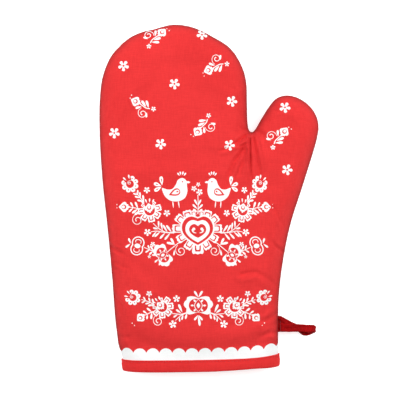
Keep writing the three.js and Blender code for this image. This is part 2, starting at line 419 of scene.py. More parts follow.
def fill_by_simulation(back, palm):
    """Blows the two panels up from inside as cloth sewn along the seam, with the seam and
    the bound mouth held, and returns the panels' new places."""
    twin = np.arange(len(back)) + len(back)
    twin[PATTERN.seam_ids] = PATTERN.seam_ids
    faces = PATTERN.faces + [tuple(twin[i] for i in reversed(f)) for f in PATTERN.faces]
    obj = new_object("sewn_panels", np.vstack([back, palm]) * SIM_SCALE, faces)
    held = set(np.flatnonzero(PATTERN.depth > HELD_FROM_DEPTH).tolist())
    held |= set(PATTERN.seam_ids)
    held |= {int(twin[i]) for i in held}
    obj.vertex_groups.new(name="held").add(sorted(held), 1.0, "REPLACE")
    cloth = obj.modifiers.new("cloth", "CLOTH")
    cloth.collision_settings.use_collision = False
    cloth.collision_settings.use_self_collision = False
    cloth.point_cache.frame_start = 1
    cloth.point_cache.frame_end = SIM_FRAMES
    for key, value in CLOTH.items():
        setattr(cloth.settings, key, value)
    cloth.settings.effector_weights.gravity = 0
    scene = bpy.context.scene
    for number in range(1, SIM_FRAMES + 1):
        scene.frame_set(number)
    graph = bpy.context.evaluated_depsgraph_get()
    done = obj.evaluated_get(graph).data
    places = np.zeros(len(done.vertices) * 3)
    done.vertices.foreach_get("co", places)
    places = places.reshape(-1, 3) / M / SIM_SCALE
    mesh = obj.data
    bpy.data.objects.remove(obj)
    bpy.data.meshes.remove(mesh)
    scene.frame_set(1)
    return places[:len(back)], places[twin]


def soft_limit(height, limit, softness=2.0):
    """height, eased so that it never passes limit."""
    over = np.maximum((height - (limit - softness)) / softness, 0)
    return np.minimum(height, limit - softness) + softness * np.tanh(over)


# Creases: a line, the half width of its groove, its depth, and how high the fold beside it
# stands. The fold is on the line's right, or on its left where its height is negative. Each
# crease fades from its first point to its last.
BACK_CREASES = [
    ([(33.4, 52.6), (32.5, 45), (32.5, 38), (32.8, 30), (33.4, 22), (35.0, 8)], 0.9, 3.0, 1.8),
    ([(35.0, 52.0), (36.0, 45), (37.4, 38), (38.8, 29), (40.6, 14)], 1.2, 2.6, -1.3),
    ([(41.0, 51.0), (43.5, 42), (46.5, 32), (47.5, 20)], 4.0, 1.0, 0.3),
    ([(32.6, 51.6), (26.5, 47.5), (21.5, 43.5), (15.5, 39.6), (7, 36.6)], 1.2, 3.0, -1.6),
    ([(29.6, 42.4), (25.5, 41.3), (21.0, 41.0)], 1.0, 1.2, 0.6),
    ([(31.6, 53.4), (27.5, 54.8), (22.0, 57.4)], 1.4, 1.9, 0.9),
    ([(27.0, 39.0), (23.4, 33.0), (20.0, 28.6), (17.8, 23.5), (15.0, 17), (11, 5)], 1.5, 2.7, -1.4),
    ([(29.0, 37.5), (27.0, 31.0), (25.0, 24.5), (22.8, 16.5)], 1.4, 2.0, -1.0),
    ([(36.8, 53.4), (41.5, 51.6), (46.0, 48.0)], 1.5, 1.4, -0.7),
    ([(51.0, -8.0), (54.5, -15), (60.0, -23)], 1.1, 1.3, 0.6),
    ([(59.5, -43.0), (53.0, -38.5), (47.0, -32)], 1.3, 1.6, 0.8),
    ([(26.0, -61.0), (32.0, -60), (38.0, -59.6), (46, -64), (53, -69.5)], 1.8, 1.9, 0.9),
    ([(55.8, -91.5), (50.5, -94.8), (44.5, -97.5), (39, -99)], 1.6, 2.2, 1.1),
    ([(55.8, -109.0), (50.0, -107.2), (44.5, -108.8), (38.5, -112)], 1.7, 2.2, -1.1),
    ([(56.5, -101.5), (52.5, -102), (48.0, -101.5)], 2.6, 1.2, 0.4),
    ([(-81.5, -36.0), (-77.0, -40.0), (-71.5, -43.2), (-66, -45)], 1.3, 2.4, -1.2),
    ([(-75.5, -51.5), (-68.0, -55.0), (-61.0, -57.4)], 1.0, 0.7, 0.4),
    ([(-79.0, -75.0), (-74.5, -80.0), (-70.5, -84), (-68.6, -91), (-68.0, -98)], 1.4, 2.4, -1.2),
    ([(-83.5, -17.0), (-77.5, -22.0), (-73.0, -28.0)], 1.6, 0.7, 0.4),
    ([(-73.6, -113.0), (-66, -110.5), (-57, -111.5)], 2.0, 0.8, 0.5),
    ([(30.6, 84), (25.0, 80), (20.5, 73)], 2.2, 0.5, 0.3),
]
PALM_CREASES = [
    ([(34.0, 52.0), (34.6, 40), (33.2, 28), (34.6, 12)], 1.3, 2.2, 0.9),
    ([(32.6, 51.2), (26.0, 43.0), (20.5, 30.0)], 1.7, 1.5, 0.7),
    ([(36.4, 53.0), (43.0, 47.5), (46.0, 38.0)], 1.8, 1.2, 0.5),
    ([(-84.0, 20), (-74.0, 16), (-66.0, 5)], 1.9, 1.2, 0.5),
    ([(-79.5, -60), (-70.0, -63), (-60.0, -60)], 1.6, 1.1, 0.6),
    ([(57.0, -70), (47.0, -74), (38.0, -82)], 1.8, 1.2, 0.5),
    ([(55.8, -108), (48.0, -104.5), (40.0, -105.5)], 1.6, 1.3, 0.7),
]

# Of a crease, in half widths of its groove: where the fold's top is, how wide it is, and
# between which distances the crease ends.
FOLD_AT = 2.3
FOLD_WIDTH = 1.3
CREASE_ENDS = (9, 4)
# Creases fade in between these distances from the crotch's point and these heights over the
# seam, and sink the cloth by no more than this share of its height.
CREASE_OFF_CROTCH = (1.5, 6.0)
CREASE_OFF_SEAM = (0.5, 3.0)
CREASE_MOST = 0.4


def creased(surface, creases):
    """How far the creases sink a surface, less by the seam and at the crotch's point. Its
    heights are from the seam."""
    lower = np.zeros(len(surface))
    for points, width, depth, fold in creases:
        line = spline(points)
        away, share = from_line(surface[:, :2], line)
        far, near = CREASE_ENDS
        fade = (1 - share) ** 0.6 * smooth(np.abs(away), far * width, near * width)
        groove = np.exp(-(away / width) ** 2)
        side = 1 if fold > 0 else -1
        ridge = np.exp(-((away * side - FOLD_AT * width) / (FOLD_WIDTH * width)) ** 2)
        lower += fade * (depth * groove - abs(fold) * ridge)
    off_crotch = np.linalg.norm(surface[:, :2] - CROTCH, axis=1)
    height = np.abs(surface[:, 2])
    lower *= smooth(off_crotch, *CREASE_OFF_CROTCH) * smooth(height, *CREASE_OFF_SEAM)
    return np.minimum(lower, CREASE_MOST * height)


# The share of the shape that comes from the filled cloth. The rest is a smooth dome.
FROM_SIMULATION = 0.6
# The dome's height before it is filled, and the depths over which the cuff gets to be held.
START_HEIGHT = 0.93
CUFF_HELD = (-2, 8)
# The cloth's soft lumps: their height and how far apart they are. They are lower on the cuff.
LUMPS = 0.45
LUMP_SIZE = 34
SMALL_LUMPS = 0.26
SMALL_LUMP_SIZE = 13
LUMPS_FROM_SEAM = (0.5, 7)


def filled_panels():
    """The outer faces of the back and the palm, from the seam plane up and down."""
    height = START_HEIGHT * DOME * fullness(PATTERN.depth) * layer_height(PATTERN.to_seam, 0)
    cuff = DOME * fullness(PATTERN.depth) * layer_height(PATTERN.to_seam, 0)
    held = smooth(PATTERN.depth, *CUFF_HELD)
    height = height * (1 - held) + cuff * held
    back = np.column_stack([PATTERN.flat, height])
    palm = np.column_stack([PATTERN.flat, -height])
    for surface, filled in zip((back, palm), fill_by_simulation(back, palm)):
        surface += FROM_SIMULATION * (filled - surface)
    free = smooth(PATTERN.to_seam, *LUMPS_FROM_SEAM) * (1 - 0.8 * held)
    for surface, side, seed in ((back, 1, 0.0), (palm, -1, 7.7)):
        x, y = surface[:, 0], surface[:, 1]
        lumps = LUMPS * rumple(x, y, LUMP_SIZE, seed)
        lumps += SMALL_LUMPS * rumple(x, y, SMALL_LUMP_SIZE, seed + 3)
        surface[:, 2] += side * free * lumps
    back[:, 2] = soft_limit(back[:, 2], BACK_LIMIT)
    palm[:, 2] = -soft_limit(-palm[:, 2], PALM_LIMIT, 1.0)
    for surface, side in ((back, 1), (palm, -1)):
        surface[PATTERN.seam_ids, 2] = side * SEAM_GAP
        surface[:, 2] = side * np.maximum(side * surface[:, 2], SEAM_GAP)
    return back, palm


BACK, PALM = filled_panels()


def plan_tree(surface, side, creases):
    """A search tree of a creased surface, in millimetres, for heights over the plan."""
    sunk = surface - np.outer(creased(surface, creases), (0, 0, side))
    return BVHTree.FromPolygons([Vector(p) for p in sunk], PATTERN.faces)


TREES = {1: plan_tree(BACK, 1, BACK_CREASES), -1: plan_tree(PALM, -1, PALM_CREASES)}


# A height above or below every part of the mitt, from the seam plane and in metres.
CLEAR_OF_ALL = 60
CLEAR_IN_METRES = 0.2


def outer_height(x, y, side):
    """The height of the outer face over the seam plane at a place in the plan."""
    start = Vector((x, y, CLEAR_OF_ALL * side))
    hit = TREES[side].ray_cast(start, Vector((0, 0, -side)))[0]
    return side * hit.z if hit else 0.0


# The places round a point that a layer's height is taken from.
NEAR = [(0, 0), (1.3, 0), (-1.3, 0), (0, 1.3), (0, -1.3), (1.9, 1.9), (1.9, -1.9),
        (-1.9, 1.9), (-1.9, -1.9)]


def layer_surface(pattern, offset, side, least):
    """A layer's face under the outer face of one side, at least `least` off the seam plane.
    It follows the lowest place close by, so that it stays under the creases."""
    outer = np.array([min(outer_height(x + u, y + v, side) for u, v in NEAR)
                      for x, y in pattern.flat])
    share = layer_height(pattern.to_seam, offset) / np.maximum(
        layer_height(pattern.to_seam, 0), 1e-6)
    return np.column_stack([pattern.flat, side * np.maximum(outer * share, least)])


def in_frame(surface):
    """Places measured from the seam plane, as places in the row frame."""
    return np.asarray(surface, float) + (0, 0, SEAM_Z)


# ---------------------------------------------------------------- materials

WHITE = (1, 1, 1)


class Nodes:
    """A material's node tree, with short calls for the nodes used here."""

    def __init__(self, name):
        self.material = bpy.data.materials.new(name)
        self.material.use_nodes = True
        self.tree = self.material.node_tree
        self.shader = self.tree.nodes["Principled BSDF"]
        place = self.add("ShaderNodeTexCoord")
        self.place, self.normal = place.outputs["Object"], place.outputs["Normal"]

    def add(self, kind, **settings):
        node = self.tree.nodes.new(kind)
        for key, value in settings.items():
            setattr(node, key, value)
        return node

    def put(self, socket, value):
        """Sets a socket, or links it."""
        if isinstance(value, bpy.types.NodeSocket):
            self.tree.links.new(value, socket)
        elif isinstance(value, tuple) and len(value) == 3 and socket.type == "RGBA":
            socket.default_value = (*value, 1)
        else:
            socket.default_value = value

    def made(self, kind, output, inputs, **settings):
        """One output of a new node whose inputs are set or linked by name or number."""
        node = self.add(kind, **settings)
        for key, value in inputs.items():
            self.put(node.inputs[key], value)
        return node.outputs[output]

    def stretched(self, scale):
        return self.made("ShaderNodeMapping", "Vector", {"Scale": scale, "Vector": self.place})

    def noise(self, vector, scale, detail=3, roughness=0.55):
        return self.made("ShaderNodeTexNoise", "Fac", {
            "Vector": vector, "Scale": scale, "Detail": detail, "Roughness": roughness})

    def threads(self, direction, pitch):
        """Bands across a direction, X, Y or Z, with pitch metres between them."""
        return self.made("ShaderNodeTexWave", "Fac", {
            "Vector": self.place, "Scale": math.pi / 10 / pitch, "Distortion": 0.5,
            "Detail": 1, "Detail Scale": 0.4}, wave_type="BANDS", bands_direction=direction)

    def math(self, operation, a, b=0.0):
        return self.made("ShaderNodeMath", 0, {0: a, 1: b}, operation=operation)

    def range(self, value, low, high):
        """0 to 1 as value goes from low to high."""
        return self.made("ShaderNodeMapRange", "Result", {
            "Value": value, "From Min": low, "From Max": high})

    def mix(self, factor, first, second, kind="RGBA"):
        node = self.add("ShaderNodeMix", data_type=kind)
        use = [s for s in node.inputs if s.enabled]
        for socket, value in zip(use, (factor, first, second)):
            self.put(socket, value)
        return next(s for s in node.outputs if s.enabled)

    def bump(self, height, distance, strength=1.0, under=None):
        inputs = {"Strength": strength, "Distance": distance, "Height": height}
        if under:
            inputs["Normal"] = under
        return self.made("ShaderNodeBump", "Normal", inputs)

    def weave(self, pitch):
        """The height of a plain weave, 0 to 1, on faces that look any way."""
        x, y, z = (self.threads(d, pitch) for d in "XYZ")

        def crossed(warp, weft):
            other = self.math("MULTIPLY", self.math("SUBTRACT", 1.0, warp),
                              self.math("SUBTRACT", 1.0, weft))
            return self.math("MAXIMUM", self.math("MULTIPLY", warp, weft), other)

        split = self.add("ShaderNodeSeparateXYZ")
        self.put(split.inputs[0], self.normal)
        sideways = self.range(self.math("ABSOLUTE", split.outputs[0]), 0.6, 0.75)
        endways = self.range(self.math("ABSOLUTE", split.outputs[1]), 0.6, 0.75)
        flat = self.mix(sideways, crossed(x, y), crossed(y, z), "FLOAT")
        return self.mix(endways, flat, crossed(x, z), "FLOAT")

    def finish(self, colour, normal, roughness, sheen=0.0, tint=WHITE, specular=0.25):
        inputs = {"Base Color": colour, "Normal": normal, "Roughness": roughness,
                  "Sheen Weight": sheen, "Sheen Roughness": 0.45, "Sheen Tint": tint,
                  "Specular IOR Level": specular}
        for key, value in inputs.items():
            self.put(self.shader.inputs[key], value)
        return self.material


# The distance from thread to thread, and how dark the painted shade along a seam makes the cloth.
WEAVE_PITCH = 0.00055
PAINTED_SHADE_DARKNESS = 0.28


def cotton(name, dark, light, pitch=WEAVE_PITCH, sheen=0.08, specular=0.2):
    """Plain-weave cotton: single threads, slubs along both ways of the weave, soft patches
    where the dye took more or less, and a faint sheen. Painted shade darkens it by a seam."""
    n = Nodes(name)
    weave = n.weave(pitch)
    along = n.noise(n.stretched((1700, 130, 500)), 1.0, 2)
    across = n.noise(n.stretched((130, 1700, 500)), 1.0, 2)
    slubs = n.math("MULTIPLY", n.math("ADD", along, across), 0.5)
    patches = n.noise(n.place, 24, 4)
    tone = n.mix(0.45, n.mix(n.range(slubs, 0.38, 0.62), dark, light),
                 n.mix(n.range(patches, 0.3, 0.7), dark, light))
    gaps = tuple(0.72 * c for c in dark)
    colour = n.mix(0.25, tone, n.mix(n.range(weave, 0.0, 0.7), gaps, light))
    # Painted shade: the cloth's colour is darkened along the seam, where shade falls in its groove.
    painted_shade = n.made("ShaderNodeAttribute", "Fac", {}, attribute_name="painted_seam_shade")
    colour = n.mix(painted_shade, colour, tuple(PAINTED_SHADE_DARKNESS * c for c in dark))
    rough = n.bump(slubs, 0.00030, 0.45)
    return n.finish(colour, n.bump(weave, 0.00012, 0.7, rough), 0.88, sheen, light, specular)


def ink(name):
    """Matt white pigment on the weave, thinner on the tops of the threads."""
    n = Nodes(name)
    weave = n.weave(WEAVE_PITCH)
    worn = n.range(n.noise(n.place, 1100, 3), 0.28, 0.6)
    pigment = n.mix(worn, (0.81, 0.82, 0.82), (0.85, 0.87, 0.87))
    colour = n.mix(0.2, pigment, n.mix(n.range(weave, 0.0, 0.5), (0.81, 0.77, 0.77), pigment))
    return n.finish(colour, n.bump(weave, 0.00007, 0.6), 0.75)


def wadding(name):
    """Loose off-white fibres in soft lumps."""
    n = Nodes(name)
    fibres = n.noise(n.stretched((900, 300, 900)), 1.0, 6, 0.7)
    mixed = n.math("ADD", n.math("MULTIPLY", fibres, 0.6),
                   n.math("MULTIPLY", n.noise(n.place, 90), 0.4))
    colour = n.mix(n.range(mixed, 0.3, 0.7), (0.7, 0.66, 0.58), (0.9, 0.88, 0.82))
    return n.finish(colour, n.bump(mixed, 0.0009), 1.0, 0.4)


def sewing_thread(name, dark, light):
    """Twisted thread: fine bands where its plies turn round each other."""
    n = Nodes(name)
    twist = n.math("MULTIPLY", n.threads("X", 0.0004), n.threads("Y", 0.0004))
    colour = n.mix(n.range(twist, 0.05, 0.6), dark, light)
    return n.finish(colour, n.bump(twist, 0.00005, 0.7), 0.55, 0.2, light, 0.4)


RED = cotton("red_cotton", (0.61, 0.021, 0.022), (0.77, 0.035, 0.036))
BINDING_RED = cotton("binding_cotton", (0.61, 0.018, 0.019), (0.77, 0.031, 0.031))
CREAM = cotton("lining_cotton", (0.70, 0.64, 0.53), (0.84, 0.79, 0.69), pitch=0.0006)
# The loop's cloth spans far from dark to light: its slubs and patches are partly its dye and partly
# painted highlights and shade of its folds, laid at random.
CRIMSON = cotton("loop_cotton", (0.13, 0.001, 0.002), (0.43, 0.003, 0.004), pitch=0.0005,
                 sheen=0.02, specular=0.08)
INK = ink("white_ink")
WADDING = wadding("wadding")
RED_THREAD = sewing_thread("red_thread", (0.42, 0.01, 0.012), (0.75, 0.03, 0.03))
CREAM_THREAD = sewing_thread("cream_thread", (0.6, 0.54, 0.44), (0.85, 0.8, 0.7))
CRIMSON_THREAD = sewing_thread("crimson_thread", (0.14, 0.002, 0.005), (0.34, 0.008, 0.014))

# ---------------------------------------------------------------- outer panels

# The seam draws the cloth into small puckers, and shade is painted on the cloth beside it, as
# if in the seam's groove: how much, and how far in from the seam either reaches.
SEAM_LENGTH = 760
PUCKER = 0.3
PUCKER_LENGTH = 4.5
PUCKER_REACH = 3.5
PAINTED_SHADE_STRENGTH = 1.2
PAINTED_SHADE_REACH = 1.8


def outer_panel(name, surface, side, creases):
    """An outer panel as a closed sheet with its seam allowance turned in along the seam, and
    a search tree of its outer face."""
    points = [*surface]
    faces = facing(PATTERN.faces, side)
    last = PATTERN.seam_ids
    for inset in ALLOWANCE:
        ring = list(range(len(points), len(points) + len(last)))
        turned_in = PATTERN.seam + inward(PATTERN.seam) * inset
        points += [(x, y, side * SEAM_GAP) for x, y in turned_in]
        faces = faces + facing([*zip(last[:-1], last[1:], ring[1:], ring[:-1])], side)
        last = ring
    obj = subdivided(new_object(name, in_frame(points), faces, RED))
    mesh = obj.data
    places, normals = np.zeros((2, 3 * len(mesh.vertices)))
    mesh.vertices.foreach_get("co", places)
    mesh.vertices.foreach_get("normal", normals)
    places, normals = places.reshape(-1, 3), normals.reshape(-1, 3)
    from_seam = places / M - (0, 0, SEAM_Z)
    places[:, 2] -= side * M * creased(from_seam, creases)
    to_seam, along = from_line(from_seam[:, :2], seam_line())
    out = smooth(np.abs(from_seam[:, 2]), 0.4, 2.0)
    pucker = rumple(along * SEAM_LENGTH, to_seam, PUCKER_LENGTH, side * 3.0)
    pucker = PUCKER * pucker * out * np.exp(-(to_seam / PUCKER_REACH) ** 2)
    places += M * pucker[:, None] * normals
    mesh.vertices.foreach_set("co", places.ravel())
    # Painted shade: strongest at the seam and fading inward, kept on the mesh for the cotton to
    # darken its colour by.
    painted_shade = np.minimum(PAINTED_SHADE_STRENGTH * np.exp(-np.abs(to_seam) / PAINTED_SHADE_REACH), 1)
    mesh.attributes.new("painted_seam_shade", "FLOAT", "POINT").data.foreach_set("value", painted_shade)
    face = mesh_tree(obj)
    return thickened(obj, FABRIC), face


back_panel, back_face = outer_panel("outer_panel_back", BACK, 1, BACK_CREASES)
palm_panel, palm_face = outer_panel("outer_panel_palm", PALM, -1, PALM_CREASES)

# ---------------------------------------------------------------- batting and lining

LINING_PATTERN = Pattern(LINING_INSET, 4.2, rings=(1.0,), fine_radius=30)
BATTING_PATTERN = Pattern(BATTING_INSET, 4.4, rings=(1.2,), fine_radius=30)

# How deep the lumps of the batting's two faces are, the least that is between the faces, and
# how far the lining falls back from the batting, as a share of its height.
BATTING_LUMPS = (0.12, 0.1)
BATTING_THINNEST = 0.3
LINING_SLACK = 0.055


def batting(name, side):
    """One half of the wadding: a closed, slightly lumpy pad."""
    p = BATTING_PATTERN
    top, low = (layer_surface(p, offset, side, least)
                for offset, least in zip(BATTING, BATTING_LEAST))
    x, y = p.flat.T
    top[:, 2] -= side * BATTING_LUMPS[0] * (1.5 + rumple(x, y, 9, side * 2.0))
    low[:, 2] += side * BATTING_LUMPS[1] * (1 + rumple(x, y, 7, side * 5.0))
    low[:, 2] = side * np.minimum(side * low[:, 2], side * top[:, 2] - BATTING_THINNEST)
    count = len(top)
    rim = [*p.seam_ids, *p.mouth_ids[1:-1]]
    faces = list(p.faces) + [tuple(count + i for i in f[::-1]) for f in p.faces]
    faces += [(b, a, count + a, count + b) for a, b in zip(rim, rim[1:] + rim[:1])]
    return new_object(name, in_frame(np.vstack([top, low])), facing(faces, side), WADDING)


def lining(name, side):
    """One side of the lining, a little wrinkled because it is looser than the outside."""
    p = LINING_PATTERN
    face = layer_surface(p, LINING, side, LINING_LEAST)
    x, y = p.flat.T
    loose = LINING_SLACK * smooth(p.to_seam, LINING_INSET, LINING_INSET + 9)
    folds = 1 + 0.6 * rumple(x, y * 0.4, 8, side * 11.0) + 0.4 * rumple(x, y, 17, side * 4.0)
    face[:, 2] *= 1 - loose * folds * (1 - smooth(p.depth, 2, 14))
    obj = new_object(name, in_frame(face), facing(p.faces, side), CREAM)
    return thickened(subdivided(obj), FABRIC)


batting_back = batting("batting_pad_back", 1)
batting_palm = batting("batting_pad_palm", -1)
lining_back = lining("lining_cloth_back", 1)
lining_palm = lining("lining_cloth_palm", -1)

# ---------------------------------------------------------------- the bound mouth

CUFF_RIM_STEPS = 10
CUFF_STRAIGHT_STEPS = 60


def cuff_loop(depth, offset):
    """A closed line round the cuff, offset inside its outer face: over the back from the
    left seam to the right, and back under the palm."""
    left, right = cuff_side(CUFF_LEFT, depth), cuff_side(CUFF_RIGHT, depth)
    reach = offset + (RIM - offset) * (
        1 - np.cos(np.linspace(0, math.pi / 2, CUFF_RIM_STEPS)))
    middle = np.linspace(left + RIM, right - RIM, CUFF_STRAIGHT_STEPS + 2)[1:-1]
    x = np.concatenate([left + reach, middle, right - reach[::-1]])
    to_seam = np.minimum(x - left, right - x)
    z = DOME * fullness(depth) * layer_height(to_seam, offset)
    y = CUFF_TOP_Y + cuff_rise(x) - depth
    back = np.stack([x, y, z], axis=1)
    palm = np.stack([x, y, -z], axis=1)[-2:0:-1]
    return np.vstack([back, palm])


# The binding's section: depth down the cuff and offset inside the outer face. It runs up
# the outside, round the folded hem, down behind it, round inside the fold and up the lining.
BINDING_SECTION = [
    (11.7, -0.25), (11.25, -0.55), (11.2, -0.95), (11.5, -1.2), (12.2, -1.05),
    (12.9, -0.9), (13.6, -1.1), (14.9, -1.35), (16.7, -1.45), (18.9, -1.35), (20.3, -1.05),
    (20.95, -0.4), (21.1, 1.4), (21.0, 4.0), (20.7, 5.7), (20.1, 6.8), (19.0, 7.2),
    (17.0, 7.25), (14.0, 7.1), (12.9, 6.9), (12.1, 7.1), (11.4, 7.15), (11.1, 6.85),
    (11.4, 6.45), (13.3, 6.35), (17.4, 6.4), (19.2, 6.2), (19.8, 5.2), (19.9, 3.0),
    (19.8, 0.8), (19.4, -0.1), (17.4, -0.4), (14.0, -0.35),
]

# The binding's puckers swell it and move it along the cuff, and its lower edge sways.
HEM_SWELL = 0.14
SWELL_DEPTH = 14.2
HEM_PUCKER = 0.06
HEM_SWAY = 0.2
# How much more the binding's lower edge rises than its upper one, at x.
HEM_RISE = [(5, 0), (25, 0.6), (35, 0.7), (41, 0.5), (49, -0.3), (56, -0.7)]
# The binding's stitches: their depth down the cuff, and in points along it the step from one
# to the next and a stitch's own run.
STITCH_DEPTH = 12.9
STITCH_STEP = 10
STITCH_RUN = 8
# The length of a seam's stitch, and the radii of the threads.
SEAM_STITCH = 2.5
THREAD_RADIUS = 0.2
SEAM_THREAD_RADIUS = 0.16
# The offsets of the binding's outer and inner leg, and the way that each one faces.
BINDING_LEGS = ((-0.98, 1), (6.98, -1))


def binding():
    """The strip folded over the mouth, with the small puckers that its stitching pulls."""
    loops = np.array([cuff_loop(depth, offset) for depth, offset in BINDING_SECTION])
    along = lengths_along(loops.mean(axis=0))
    pucker = wander(along, 3.4)
    sway = wander(along, 24, 5)
    for j, (depth, offset) in enumerate(BINDING_SECTION):
        outside = offset < 0
        swell = HEM_SWELL * pucker * (1 - smooth(abs(depth - SWELL_DEPTH), 0, 5))
        loops[j, :, 2] *= 1 + (swell if outside else -swell) / 9
        more = between(loops[j, :, 0], HEM_RISE)
        loops[j, :, 1] += ((HEM_SWAY * sway + more) * smooth(depth, 12, 21)
                           - HEM_PUCKER * pucker)
    faces = quads(*loops.shape[:2], True, True)
    obj = new_object("binding_strip", in_frame(loops.reshape(-1, 3)), faces, BINDING_RED)
    return subdivided(obj)


def binding_stitches():
    """Lock stitches round both legs of the binding, sunk a little into the cloth."""
    parts = []
    for offset, sign in BINDING_LEGS:
        line = cuff_loop(STITCH_DEPTH, offset)
        line = resample(np.vstack([line, line[:1]]), 0.31)
        for first in range(0, len(line) - STITCH_STEP, STITCH_STEP):
            run = line[first:first + STITCH_RUN:2].copy()
            rise = np.sin(np.linspace(0, math.pi, len(run)))
            run[:, 2] += sign * np.sign(run[:, 2] + 1e-6) * (0.12 * rise - 0.06)
            parts.append(tube(run, THREAD_RADIUS, 5))
    points, faces = merged(parts)
    return new_object("binding_stitches", in_frame(points), faces, RED_THREAD)


def seam_stitches(name, inset, reach, material):
    """The thread of a closed seam, going through both allowances and back, stitch by
    stitch."""
    spacing = 0.5
    line = resample(seam_line(inset), spacing)
    turn = np.arange(len(line)) * spacing * 2 * math.pi / SEAM_STITCH
    path = np.column_stack([line, reach * np.clip(1.4 * np.sin(turn), -1, 1)])
    points, faces = tube(path, SEAM_THREAD_RADIUS, 5)
    return new_object(name, in_frame(points), faces, material)


cuff_binding = binding()
cuff_stitches = binding_stitches()
outer_stitches = seam_stitches("outer_seam_stitches", 1.3, 0.85, RED_THREAD)
lining_stitches = seam_stitches("lining_seam_stitches", LINING_INSET + 0.8, 0.6, CREAM_THREAD)

# ---------------------------------------------------------------- the hanging loop

# Its middle line from inside the seam, out behind, round the fold and back on top: place,
# the strip's lean in degrees about that line, and its width as a share of the flat strip's.
LOOP_ROUTE = [
    (52.5, -98.2, 0.45, 0, 1.0), (55.5, -98.0, 0.35, 0, 1.0), (58.4, -98.8, -0.3, 4, 0.95),
    (62.4, -101.0, -2.6, 8, 0.9), (67.8, -103.9, -6.6, 8, 0.85), (73.3, -106.2, -10.0, 6, 0.85),
    (78.8, -109.2, -11.0, 4, 0.9), (83.4, -108.0, -10.7, 0, 0.8), (86.4, -106.6, -8.7, -6, 0.66),
    (84.9, -105.6, -6.4, -6, 0.76), (80.6, -105.8, -5.0, 14, 0.95),
    (75.8, -105.2, -4.1, 12, 0.88), (70.5, -104.9, -2.9, -4, 0.95),
    (65.0, -104.6, -1.2, -3, 1.0), (60.0, -104.4, -0.3, 0, 1.0), (55.8, -104.5, -0.35, 0, 1.0),
    (52.5, -104.5, -0.45, 0, 1.0),
]
LOOP_WIDTH = 6.9
LOOP_THICKNESS = 1.25
# The strip's creases are shallower by this share at its fold, and get so between these x.
LOOP_FOLD_SMOOTH = 0.75
LOOP_FOLD_X = (81, 85)


def loop_section():
    """The strip's section: a tube of cloth pressed flat, a little thicker along its edges,
    with a shallow groove along its stitching."""
    across = np.cos(np.linspace(0, math.pi, 15)) * 0.5
    half = 0.5 * (1 - np.abs(2 * across) ** 5) ** 0.5
    edge = 0.1 * np.exp(-((np.abs(across) - 0.40) / 0.06) ** 2)
    groove = 0.12 * np.exp(-((across - 0.27) / 0.05) ** 2)
    top = np.stack([across, half + edge - groove], axis=1)
    under = np.stack([across, -(half + edge - 0.5 * groove)], axis=1)[-2:0:-1]
    return np.vstack([top, under])


def crumple(i, u, upper):
    """How far the strip's face stands out at step i of the route and u across it: waves, small
    ones on them, a fold that wanders along the middle, and a crease beside it."""
    out = 0.55 * noise.noise(Vector((i / 7.5, u * 2.6, 0.3 * upper)))
    out += 0.28 * noise.noise(Vector((i / 3.0, u * 5.0, 3.0)))
    out += 0.75 * math.exp(-((u - 0.16 * math.sin(i / 13.0 + 1.2)) / 0.10) ** 2)
    out -= 0.55 * math.exp(-((u + 0.24 - 0.1 * math.sin(i / 8.0)) / 0.09) ** 2)
    return out


def hanging_loop():
    """The strip swept along its route, creased where it folds and twists."""
    route = spline(LOOP_ROUTE, 9)
    middle = route[:, :3]
    section = loop_section()
    points = []
    for i, (place, t) in enumerate(zip(middle, unit(np.gradient(middle, axis=0)))):
        # Across the strip is near the row's Y, square to the route, and then leans.
        across = np.array([0.0, 1.0, 0.0])
        across -= t * (across @ t)
        across /= np.linalg.norm(across)
        out = np.cross(t, across)
        lean = math.radians(route[i, 3])
        across, out = (across * math.cos(lean) + out * math.sin(lean),
                       out * math.cos(lean) - across * math.sin(lean))
        creasing = 1 - LOOP_FOLD_SMOOTH * smooth(place[0], *LOOP_FOLD_X)
        share = route[i, 4] + 0.06 * noise.noise(Vector((i / 5.0, 9.0, 0)))
        for u, v in section:
            raised = crumple(i, u, v > 0) * creasing
            points.append(place + across * u * LOOP_WIDTH * share
                          + out * (v * LOOP_THICKNESS + raised))
    sides = len(section)
    faces = [(f[0], *f[:0:-1]) for f in quads(len(middle), sides, False, True)]
    faces.append(tuple(range(sides)))
    faces.append(tuple(range(len(points) - sides, len(points)))[::-1])
    return subdivided(new_object("loop_strip", in_frame(points), faces, CRIMSON))


TACK_X = 57.0
TACK_WIDTH = 0.8
TACK_POINTS = 30


def bar_tack():
    """A close zigzag of thread that holds both ends of the strip at the seam."""
    x = TACK_X + TACK_WIDTH * (np.arange(TACK_POINTS) % 2)
    y = np.linspace(-95.2, -107.4, TACK_POINTS)
    top = np.interp(y, [-107.4, -101.4, -100.6, -95.2], [0.45, 0.42, 0.5, 0.55])
    path = resample(np.column_stack([x, y, top]), 0.35)
    points, faces = tube(path, THREAD_RADIUS, 6)
    return new_object("loop_bar_tack", in_frame(points), faces, CRIMSON_THREAD)


loop = hanging_loop()
tack = bar_tack()

# ---------------------------------------------------------------- print shapes
# A motif is a list of (polygon, is_white) pairs, painted one over another on the flat. Each
# shape points along +X from the origin before it is placed.


def turned(points, x=0.0, y=0.0, degrees=0.0, flip=False):
    """The points turned about the origin, with their left and right swapped first if flip,
    and moved to x, y."""
    p = np.asarray(points, float) * (1, -1 if flip else 1)
    c, s = math.cos(math.radians(degrees)), math.sin(math.radians(degrees))
    return p @ np.array([[c, s], [-s, c]]) + (x, y)


def away(distance, degrees, x=0.0, y=0.0):
    """The point this far from x, y in a direction."""
    return turned([(distance, 0)], x, y, degrees)[0]


def placed(motif, x=0.0, y=0.0, degrees=0.0, flip=False):
    """The motif with its shapes turned and moved together."""
    return [(turned(p, x, y, degrees, flip), is_white) for p, is_white in motif]


